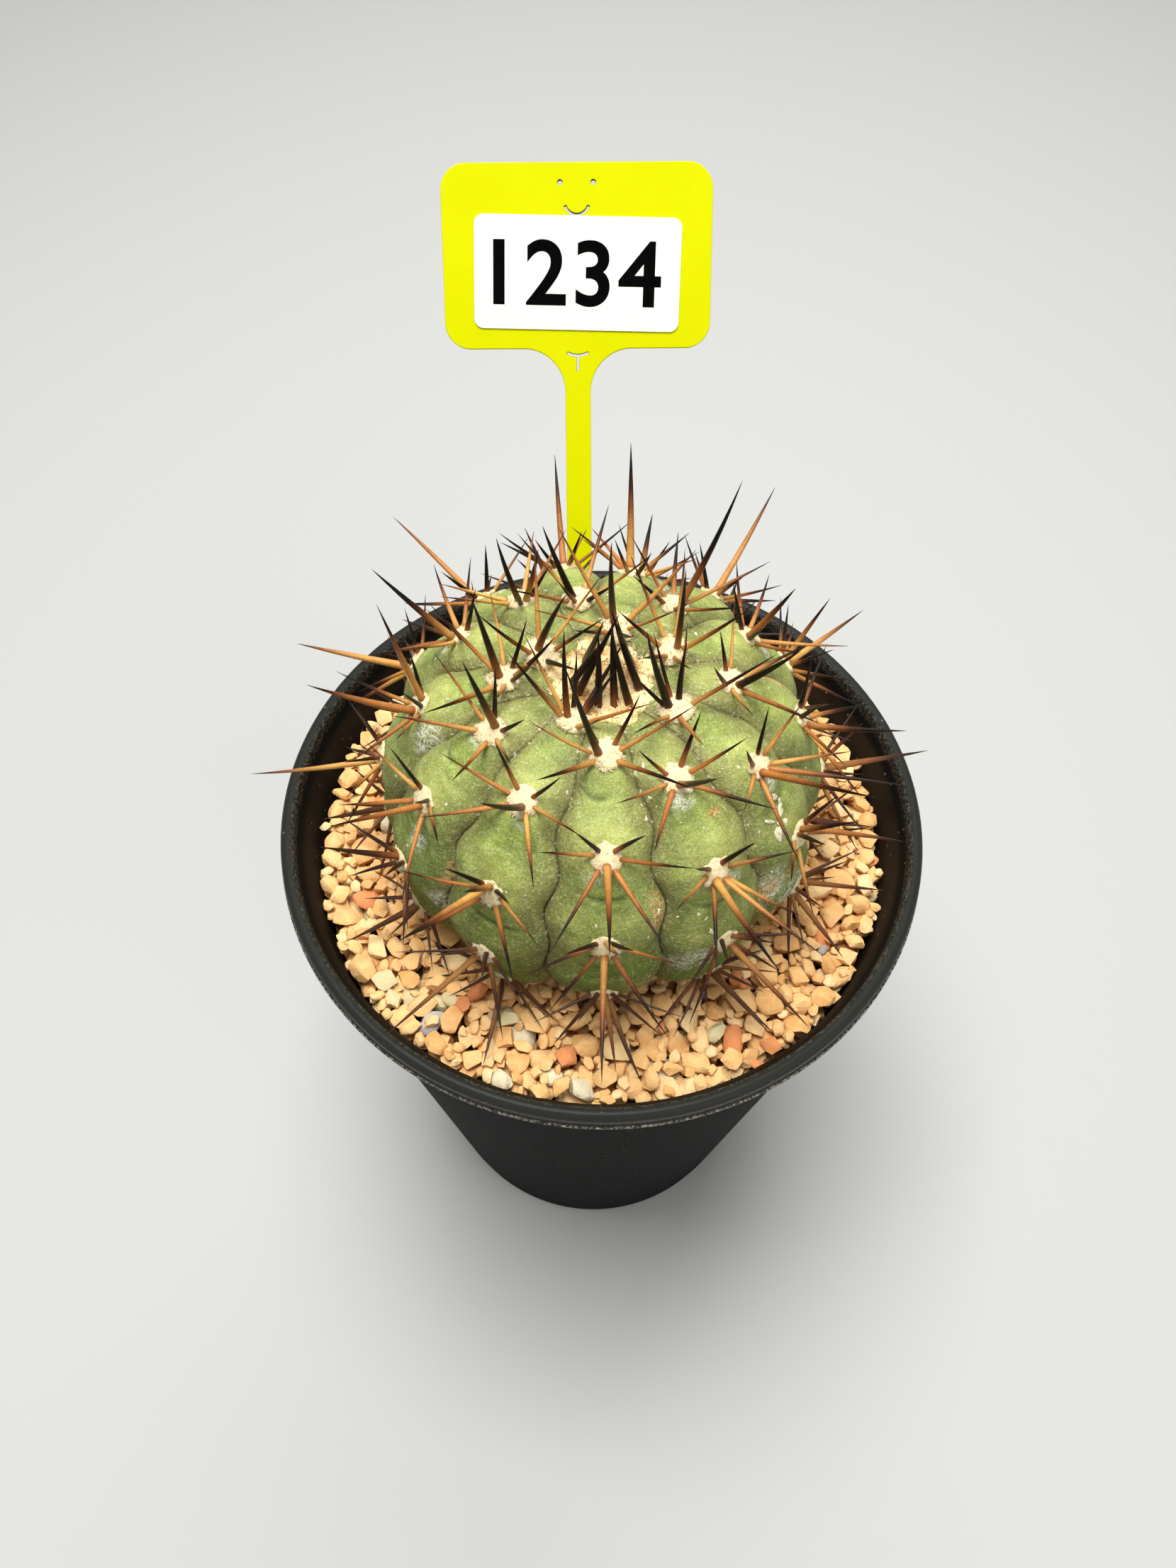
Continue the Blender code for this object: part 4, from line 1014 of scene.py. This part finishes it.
# %% Twelve shapes of stone
draw_stones = random.Random(11)
STONE_SHAPES = 12
stone_shapes = []
for index in range(STONE_SHAPES):
    stone = new_shape(f"stone_shape_{index}", bpy.ops.mesh.primitive_ico_sphere_add, subdivisions=2)
    bpy.ops.object.mode_set(mode="EDIT")
    for _ in range(draw_stones.randint(8, 11)):
        normal = Vector([draw_stones.gauss(0, 1) for _ in range(3)]).normalized()
        spot = normal * draw_stones.uniform(0.52, 0.80)
        bpy.ops.mesh.select_all(action="SELECT")
        bpy.ops.mesh.bisect(plane_co=spot, plane_no=normal, clear_outer=True, use_fill=True)
    bpy.ops.mesh.select_all(action="SELECT")
    bpy.ops.mesh.remove_doubles(threshold=0.17)
    bpy.ops.mesh.quads_convert_to_tris()
    bpy.ops.mesh.normals_make_consistent(inside=False)
    bpy.ops.object.mode_set(mode="OBJECT")
    corners = corners_of(stone)
    corners -= (corners.max(axis=0) + corners.min(axis=0)) / 2
    corners /= (corners.max(axis=0) - corners.min(axis=0)) / 2
    stone.data.vertices.foreach_set("co", corners.ravel())
    stone_shapes.append(stone)
print("faces of the stones:", [len(stone.data.polygons) for stone in stone_shapes])

# %% A map of the heap's height
CELL, HALF_MAP, BED_TOP, STONE_COUNT = 0.0003, 0.0477, GRIT_TOP - 0.0042, 2100
# Share of the stones at which the small ones start, places tried, and how far a stone sinks in
SMALL_FROM, SMALL_TRIES, LARGE_TRIES, SINK = 0.66, 28, 18, 0.14
STONE_EDGE, HIGHEST_STONE = 0.06, GRIT_TOP + 0.0024
CLEAR_OF_PLANT, CLEAR_OF_STAKE = 0.0243, (0.0022, 0.0012)
across_map = np.arange(-HALF_MAP, HALF_MAP, CELL)
map_x, map_y = np.meshgrid(across_map, across_map, indexing="ij")
blocked = np.hypot(map_x, map_y) > wall_radius(GRIT_TOP) - WALL - 0.0001
blocked |= np.hypot(map_x - PLANT_CENTRE.x, map_y - PLANT_CENTRE.y) < CLEAR_OF_PLANT
stake_y = LABEL_FOOT.y + (GRIT_TOP - POT_HEIGHT) * math.tan(LABEL_LEAN)
blocked |= (abs(map_x - LABEL_FOOT.x) < CLEAR_OF_STAKE[0]) & (abs(map_y - stake_y) < CLEAR_OF_STAKE[1])
banked = np.clip((np.hypot(map_x, map_y) - 0.030) / 0.015, 0.0, 1.0) * np.clip(-map_x / 0.030, 0.25, 1.0)
heap = np.where(blocked, 1.0, BED_TOP + 0.0016 * banked)
free = np.argwhere(~blocked)


def settle(x, y, turn, size):
    """Height at which a stone rests here, the patch of the map below it, and its own depth there."""
    reach = int(max(size[0], size[1]) / CELL) + 1
    i, j = int(round((x + HALF_MAP) / CELL)), int(round((y + HALF_MAP) / CELL))
    if i - reach < 0 or j - reach < 0 or i + reach >= len(across_map) or j + reach >= len(across_map):
        return 1.0, None, None
    patch = (slice(i - reach, i + reach + 1), slice(j - reach, j + reach + 1))
    dx, dy = map_x[patch] - x, map_y[patch] - y
    u = (dx * math.cos(turn) + dy * math.sin(turn)) / size[0]
    v = (dy * math.cos(turn) - dx * math.sin(turn)) / size[1]
    inside = 1 - u * u - v * v
    depth = size[2] * np.sqrt(np.clip(inside, 0.0, 1.0))
    below = inside > STONE_EDGE
    return float(np.where(below, heap[patch] + depth, 0.0).max()), patch, np.where(below, depth, -1.0)


print("free cells of the map:", len(free))

# %% Drop the stones
stones = []
for index in range(STONE_COUNT):
    small = index / STONE_COUNT > SMALL_FROM
    length = draw_stones.uniform(0.0006, 0.0012) if small else draw_stones.triangular(0.0012, 0.0026, 0.0017)
    size = (length, length * draw_stones.uniform(0.60, 0.95), length * draw_stones.uniform(0.42, 0.70))
    best = None
    for _ in range(SMALL_TRIES if small else LARGE_TRIES):
        i, j = free[draw_stones.randrange(len(free))]
        turn = draw_stones.uniform(0, math.pi)
        rest, patch, depth = settle(across_map[i], across_map[j], turn, size)
        if patch is not None and rest < 0.5 and (best is None or rest < best[0]):
            best = (rest, patch, depth, across_map[i], across_map[j], turn)
    if best is None or best[0] > HIGHEST_STONE:
        continue
    rest, patch, depth, x, y, turn = best
    rest -= SINK * size[2]
    heap[patch] = np.where(depth >= 0, np.maximum(heap[patch], rest + 0.9 * depth), heap[patch])
    stones.append((x, y, rest, turn, size))
print("stones:", len(stones), "mean top:", round(1000 * float(heap[~blocked].mean() - GRIT_TOP), 2), "mm")

# %% [markdown]
# Most stones are tan, and a seeded draw makes a few of them quartz, slate, brick or greenish. Those
# that catch the eye at the front of the pot are put where the real ones lie, by changing the kind
# of the nearest large stone.

# %% Place the stones
QUARTZ, SLATE, BRICK, GREENISH = 1.0, 2.0, 3.0, 4.0
seen_stones = (
    (-0.0067, -0.0402, QUARTZ), (-0.0038, -0.0415, QUARTZ), (-0.0157, -0.0411, QUARTZ),
    (-0.0232, -0.0338, SLATE), (0.0054, -0.0350, BRICK), (0.0343, -0.0171, BRICK),
    (0.0197, -0.0363, BRICK), (0.0247, -0.0371, BRICK), (-0.0194, -0.0273, BRICK),
    (-0.0300, -0.0303, GREENISH), (-0.0264, -0.0281, GREENISH),
)
kinds = {}
for x, y, kind in seen_stones:
    near = min(
        (i for i, s in enumerate(stones) if s[4][0] > 0.0013 and s[2] > GRIT_TOP - 0.0012 and i not in kinds),
        key=lambda i: math.hypot(stones[i][0] - x, stones[i][1] - y),
    )
    kinds[near] = kind
copies = []
for index, (x, y, rest, turn, size) in enumerate(stones):
    place = Matrix.Translation((x, y, rest))
    for axis in "XY":
        place = place @ Matrix.Rotation(draw_stones.gauss(0, 0.15), 4, axis)
    place = place @ Matrix.Rotation(turn, 4, "Z") @ Matrix.Diagonal((*(1.04 * s for s in size), 1.0))
    copy = copy_of(stone_shapes[draw_stones.randrange(STONE_SHAPES)], f"stone_{index}", place)
    chance = draw_stones.random()
    drawn = QUARTZ if chance < 0.008 else SLATE if chance < 0.011 else BRICK if chance < 0.025 else 0.0
    drawn = GREENISH if 0.035 < chance < 0.060 else drawn
    mark(copy, kind=kinds.get(index, drawn), lot=draw_stones.random())
    copies.append(copy)
stone_piece = join_pieces(copies, "stones", *stone_shapes)
bpy.ops.object.shade_smooth_by_angle(angle=math.radians(46))
print("stones placed:", len(copies))

# %% [markdown]
# The stones are sandstone and fired clay: matte, tan to apricot, with their own tint each, a mottle
# about 1 mm wide and a sandy grain, drawn a little coarse at 0.3 mm so that it shows.

# %% Sandstone grit
stone_material, add, shader, where = new_material("sandstone_grit", Roughness=0.9, Specular_IOR_Level=0.2)
kind, lot = [add("Attribute", attribute_name=name).outputs["Fac"] for name in ("kind", "lot")]
mottle = add("TexNoise", where, 750.0, 5.0)
lot_share = add("MapRange", lot, 0.0, 0.55)
colour = add("Mix", lot_share, "#d99d5a", "#eaba7a")
pale_share = add("MapRange", lot, 0.72, 1.0, 0.0, 0.8)
colour = add("Mix", pale_share, colour, "#efd3a0")
mottle_share = add("MapRange", mottle, 0.36, 0.68, 0.0, 0.5)
colour = add("Mix", mottle_share, colour, "#f0cb90")
for number, shade in ((QUARTZ, "#d8d1b2"), (SLATE, "#a4adb2"), (BRICK, "#d98552"), (GREENISH, "#cdc497")):
    same = add("Math", kind, number, 0.3, operation="COMPARE")
    same = add("Math", same, 0.85, operation="MULTIPLY")
    colour = add("Mix", same, colour, shade)
sandy = add("TexNoise", where, 3200.0, 3.0)
sandy = add("Math", mottle, 2.2, sandy, operation="MULTIPLY_ADD")
bump = add("Bump", Strength=0.8, Distance=0.00016, Height=sandy)
feed(shader, Base_Color=colour, Normal=bump)
finish_piece(stone_piece, stone_material, "grit", "grit")

# %% [markdown]
# Under the stones lies the rest of the mix. Only slits of it show between them, so a tapered plug
# with its top inset twice is enough. It also keeps light from shining through the pot.

# %% The bed below the stones
bed_radius, bed_bottom = wall_radius(BED_TOP) - WALL - 0.0003, FLOOR + 0.0003
sizes = {"vertices": 96, "radius": bed_radius, "depth": BED_TOP - bed_bottom}
sizes["location"] = (0, 0, (BED_TOP + bed_bottom) / 2)
bed = new_shape("soil_bed", bpy.ops.mesh.primitive_cylinder_add, **sizes)
shrink = (wall_radius(FLOOR) - WALL - 0.0013) / bed_radius
for vert in bed.data.vertices:
    if vert.co.z < 0.05:
        vert.co.x *= shrink
        vert.co.y *= shrink
bpy.ops.object.mode_set(mode="EDIT")
bpy.ops.mesh.select_all(action="DESELECT")
bpy.ops.object.mode_set(mode="OBJECT")
for face in bed.data.polygons:
    face.select = face.normal.z > 0.9
bpy.ops.object.mode_set(mode="EDIT")
bpy.ops.mesh.inset(thickness=0.004)
bpy.ops.mesh.inset(thickness=0.008)
bpy.ops.object.mode_set(mode="OBJECT")


def two_tone_material(name, scale, detail, tones, strength, depth, **inputs):
    """A finish of two tones mixed by one noise, which also raises the surface."""
    made, add, shader, where = new_material(name, **inputs)
    pattern = add("TexNoise", where, scale, detail)
    bump = add("Bump", Strength=strength, Distance=depth, Height=pattern)
    feed(shader, Base_Color=add("Mix", pattern, *tones), Normal=bump)
    return made


rough_soil = {"Roughness": 0.95, "Specular_IOR_Level": 0.2}
bed_material = two_tone_material("gritty_soil", 900.0, 6.0, ("#5f4224", "#a67a48"), 1.0, 0.0006, **rough_soil)
finish_piece(bed, bed_material, "grit")

# %% [markdown]
# A dry root has worked its way out at the front left of the plant and lies across the stones. It is
# drawn as a curve through the places where it shows, given a round section that tapers, and made a
# mesh.

# %% The dry root
root_line = ((-0.0095, -0.0240, 0.0), (-0.0079, -0.0268, 0.0009), (-0.0068, -0.0279, 0.0014))
root_line += ((-0.0053, -0.0300, 0.0012), (-0.0040, -0.0316, 0.0014), (-0.0024, -0.0321, 0.0015))
root_line += ((-0.0010, -0.0333, 0.0013), (-0.0004, -0.0345, 0.0011), (-0.0001, -0.0357, 0.0003))
thread = bpy.data.curves.new("dry_root", "CURVE")
thread.dimensions, thread.bevel_depth, thread.bevel_resolution, thread.resolution_u = "3D", 0.00021, 2, 6
thread.use_fill_caps = True
spline = thread.splines.new("NURBS")
spline.points.add(len(root_line) - 1)
for index, (point, (x, y, z)) in enumerate(zip(spline.points, root_line)):
    point.co = (x, y, GRIT_TOP + z, 1.0)
    point.radius = 1.15 - 0.6 * index / len(root_line)
spline.use_endpoint_u, spline.order_u = True, 4
root_piece = new_piece("dry_root", thread)
bpy.ops.object.shade_smooth()
dry = {"Roughness": 0.85, "Specular_IOR_Level": 0.2}
root_material = two_tone_material("dry_root_bark", 1400.0, 4.0, ("#b98f55", "#efdcae"), 0.6, 0.0001, **dry)
finish_piece(root_piece, root_material, "cactus_skin")

# %% [markdown]
# The label is a flat stake of bright plastic, punched with two small holes, a curved slot and a tie
# slot. Its outline is a filled curve whose edges are rounded over by 0.12 mm, which is how a moulded
# edge catches the light. The curve becomes a mesh before it is leaned back into place. The walls of
# the holes are painted dark as painted shade, so each point keeps how deep in a hole it is.

# %% The label's plate and stake
LABEL_TURN, LABEL_THICKNESS, LABEL_EDGE = math.radians(1.2), 0.0012, 0.00012
PLATE_WIDTH, PLATE_BOTTOM, PLATE_TOP, PLATE_CORNER = 0.0434, 0.0412, 0.0689, 0.0040
NECK_FILLET, STEM_WIDTH, STEM_END, STEM_POINT = 0.0068, 0.0042, -0.0380, 0.0060
PINHOLE_HEIGHT, PINHOLE_SPACING, PINHOLE_RADIUS = 0.0660, 0.0053, 0.0004
CURVED_SLOT_HEIGHT, CURVED_SLOT_RADIUS, SLOT_WIDTH = 0.0633, 0.0020, 0.00042
TIE_SLOT_HEIGHT, TIE_SLOT_RADIUS, TIE_SLOT_SPREAD, TIE_SLOT_DROP = 0.0401, 0.0040, 26.0, 0.0024
label_place = Matrix.Translation(LABEL_FOOT) @ Matrix.Rotation(math.pi / 2 - LABEL_LEAN, 4, "X")
label_place = label_place @ Matrix.Rotation(LABEL_TURN, 4, "Z")


def plate_from(name, outlines, thickness, edge, place):
    """A flat plate from closed outlines, the first its edge and the rest holes, made a mesh and placed."""
    curve = bpy.data.curves.new(name, "CURVE")
    curve.dimensions, curve.fill_mode = "2D", "BOTH"
    curve.extrude, curve.bevel_depth, curve.bevel_resolution = thickness / 2 - edge, edge, 2
    curve.offset = -edge
    for points in outlines:
        spline = curve.splines.new("POLY")
        spline.points.add(len(points) - 1)
        for point, (x, y) in zip(spline.points, points):
            point.co = (x, y, 0.0, 1.0)
        spline.use_cyclic_u = True
    made = new_piece(name, curve)
    # The walls of the holes get a share that the finish paints dark, as painted shade.
    slots = np.array([point for points in outlines[1:] for point in points] or [(1.0, 1.0)])
    corners = corners_of(made)
    gaps = np.linalg.norm(corners[:, None, :2] - slots[None, :, :], axis=2).min(axis=1)
    on_face = abs(corners[:, 2]) > thickness / 2 - 0.2 * edge
    mark(made, in_hole=np.where(on_face, 0.0, np.clip(1.5 - gaps / edge, 0.0, 1.0)))
    made.data.transform(place)
    bpy.ops.object.shade_smooth_by_angle(angle=math.radians(40))
    return made


neck = STEM_WIDTH / 2
right = [(0.0, STEM_END), (neck, STEM_END + STEM_POINT)]
right += arc_points((neck + NECK_FILLET, PLATE_BOTTOM - NECK_FILLET), NECK_FILLET, 180.0, 90.0, 16)
corner_x = PLATE_WIDTH / 2 - PLATE_CORNER
right += arc_points((corner_x, PLATE_BOTTOM + PLATE_CORNER), PLATE_CORNER, -90.0, 0.0, 12)
right += arc_points((corner_x, PLATE_TOP - PLATE_CORNER), PLATE_CORNER, 0.0, 90.0, 12)
edge_line = right + [(-x, y) for x, y in reversed(right[1:])]
pinholes = []
for x in (-PINHOLE_SPACING / 2, PINHOLE_SPACING / 2):
    pinholes.append(arc_points((x, PINHOLE_HEIGHT), PINHOLE_RADIUS, 0.0, 345.0, 23))
half_slot = SLOT_WIDTH / 2
curved = arc_points((0.0, CURVED_SLOT_HEIGHT), CURVED_SLOT_RADIUS + half_slot, 200.0, 340.0, 18)
curved += arc_points((0.0, CURVED_SLOT_HEIGHT), CURVED_SLOT_RADIUS - half_slot, 340.0, 200.0, 18)
tie_centre = (0.0, TIE_SLOT_HEIGHT + TIE_SLOT_RADIUS)
tie_stem = math.degrees(half_slot / TIE_SLOT_RADIUS)
tie_inner, tie_outer = TIE_SLOT_RADIUS - half_slot, TIE_SLOT_RADIUS + half_slot
tie_left, tie_right = 270.0 - TIE_SLOT_SPREAD, 270.0 + TIE_SLOT_SPREAD
tie = arc_points(tie_centre, tie_inner, tie_left, tie_right, 12)
tie += arc_points(tie_centre, tie_outer, tie_right, 270.0 + tie_stem, 6)
tie += [(half_slot, TIE_SLOT_HEIGHT - TIE_SLOT_DROP), (-half_slot, TIE_SLOT_HEIGHT - TIE_SLOT_DROP)]
tie += arc_points(tie_centre, tie_outer, 270.0 - tie_stem, tie_left, 6)
outlines = [edge_line, *pinholes, curved, tie]
label = plate_from("label_stake", outlines, LABEL_THICKNESS, LABEL_EDGE, label_place)
print("label outline points:", len(edge_line))

# %% [markdown]
# The card is a thin rounded slip that sits on the plate, and its number is printed in a heavy
# narrow face. The number is made as text, thickened by a round bevel, pressed flat, turned into a
# mesh and laid on the card.

# %% The card and its number
CARD_SIZE, CARD_CENTRE, CARD_CORNER, CARD_THICKNESS = (0.0334, 0.01715), 0.05257, 0.0015, 0.0002
CARD_TURN, CARD_EDGE, GAP = math.radians(-1.5), 0.00004, 0.00004
NUMBER_HEIGHT, NUMBER_WIDTH, NUMBER_WEIGHT, INK = 0.0100, 0.0272, 0.00024, 0.00002
card_front = LABEL_THICKNESS / 2 + GAP + CARD_THICKNESS / 2
card_place = label_place @ Matrix.Translation((0.0, CARD_CENTRE, card_front))
card_place = card_place @ Matrix.Rotation(CARD_TURN, 4, "Z")
half_width, half_height = CARD_SIZE[0] / 2 - CARD_CORNER, CARD_SIZE[1] / 2 - CARD_CORNER
card_line = []
for x, y, start in ((1, -1, -90), (1, 1, 0), (-1, 1, 90), (-1, -1, 180)):
    card_line += arc_points((x * half_width, y * half_height), CARD_CORNER, start, start + 90, 10)
card = plate_from("label_card_front", [card_line], CARD_THICKNESS, CARD_EDGE, card_place)
digits = bpy.data.curves.new("card_number", "FONT")
digits.body, digits.align_x, digits.align_y = "1234", "CENTER", "CENTER"
digits.size, digits.space_character, digits.resolution_u = 0.0135, 1.10, 10
digits.bevel_depth, digits.bevel_resolution = NUMBER_WEIGHT, 2
number = new_piece("card_number", digits)
corners = corners_of(number)
low, high = corners.min(axis=0), corners.max(axis=0)
press = INK / NUMBER_WEIGHT
fit = Matrix.Diagonal((NUMBER_WIDTH / (high[0] - low[0]), NUMBER_HEIGHT / (high[1] - low[1]), press, 1.0))
centred = fit @ Matrix.Translation((-(low[0] + high[0]) / 2, -(low[1] + high[1]) / 2, 0.0))
number.data.transform(card_place @ Matrix.Translation((0.0, 0.0, CARD_THICKNESS / 2 + INK)) @ centred)
print("number size before fitting:", (1000 * (high - low)).round(2), "mm")

# %% [markdown]
# The label is polypropylene coloured through in a bright yellow green, with a satin moulded face
# and a slight waviness that breaks up its highlights. The card is coated white stock, a little
# warm, and the ink is a flat black.

# %% Label plastic, card and ink
label_material, add, shader, where = new_material(
    "yellow_polypropylene", IOR=1.49, Specular_IOR_Level=0.03, Subsurface_Weight=0.05, Subsurface_Scale=0.0012
)
waves = add("TexNoise", where, 90.0, 3.0)
colour = add("Mix", waves, "#c0c200", "#cacc00")
in_hole = add("Attribute", attribute_name="in_hole").outputs["Fac"]
# Painted shade: the walls of the holes are painted near black.
colour = add("Mix", in_hole, colour, "#1b1c0c")
rough = add("MapRange", waves, 0.3, 0.7, 0.40, 0.55)
grain = add("TexNoise", where, 1500.0, 2.0)
bump = add("Bump", Strength=0.25, Distance=0.00004, Height=grain)
feed(shader, Base_Color=colour, Roughness=rough, Normal=bump)
finish_piece(label, label_material, "label_plastic", "plant_label")

coated, whites = {"Roughness": 0.6, "Specular_IOR_Level": 0.3}, ("#d6d6c8", "#dedfd2")
card_material = two_tone_material("coated_white_card", 1800.0, 4.0, whites, 0.15, 0.00002, **coated)
finish_piece(card, card_material, "label_card", "label_card")

ink_material, add, shader, where = new_material("black_ink", Roughness=0.8, Specular_IOR_Level=0.0)
feed(shader, Base_Color=add("Mix", add("TexNoise", where, 1200.0, 4.0), "#030303", "#0c0c0c"))
finish_piece(number, ink_material, "label_card")

# %% [markdown]
# The stage is a plain pale floor, a soft white key light overhead, a wide fill, a weak light behind
# and a pale sky. The camera stands where the phone was: 27 cm up, looking down at 57 degrees.

# %% Floor, light and camera
floor = new_shape("floor", bpy.ops.mesh.primitive_plane_add, size=4.0)
pale = {"Base_Color": linear("#b6b6b2"), "Roughness": 0.9, "Specular_IOR_Level": 0.2}
floor.data.materials.append(new_material("pale_floor", **pale)[0])
# Name, place, size and watts
lamps = (
    ("key", (-0.08, 0.02, 0.92), 0.42, 10.7),
    ("fill", (0.50, -0.55, 0.55), 0.80, 2.8),
    ("back", (0.10, 0.60, 0.70), 0.60, 3.0),
)
for name, spot, size, power in lamps:
    bpy.ops.object.light_add(type="AREA", location=spot)
    lamp = active_piece(name)
    lamp.data.size, lamp.data.energy = size, power
    lamp.rotation_euler = (Vector((0.0, 0.0, 0.11)) - Vector(spot)).to_track_quat("-Z", "Y").to_euler()
world = bpy.data.worlds.new("pale_sky")
bpy.context.scene.world = world
world.use_nodes = True
sky = world.node_tree.nodes["Background"].inputs
sky["Color"].default_value, sky["Strength"].default_value = linear("#f0f2f5"), 0.24
bpy.ops.object.camera_add()
camera = active_piece("camera")
FOCAL_LENGTH, PICTURE_HEIGHT, SENSOR_MM = 1662, 2212, 36
camera.data.lens, camera.data.clip_start = FOCAL_LENGTH / PICTURE_HEIGHT * SENSOR_MM, 0.01
CAMERA_SPOT, CAMERA_TILT, CAMERA_TURN = (-0.00223, -0.0977, 0.2724), math.radians(33.1), math.radians(0.92)
turned = Matrix.Rotation(CAMERA_TILT, 4, "X") @ Matrix.Rotation(CAMERA_TURN, 4, "Z")
camera.matrix_world = Matrix.Translation(CAMERA_SPOT) @ turned
bpy.context.scene.camera = camera
bpy.context.scene.view_settings.view_transform = "Standard"
print("lens:", round(camera.data.lens, 2), "mm")
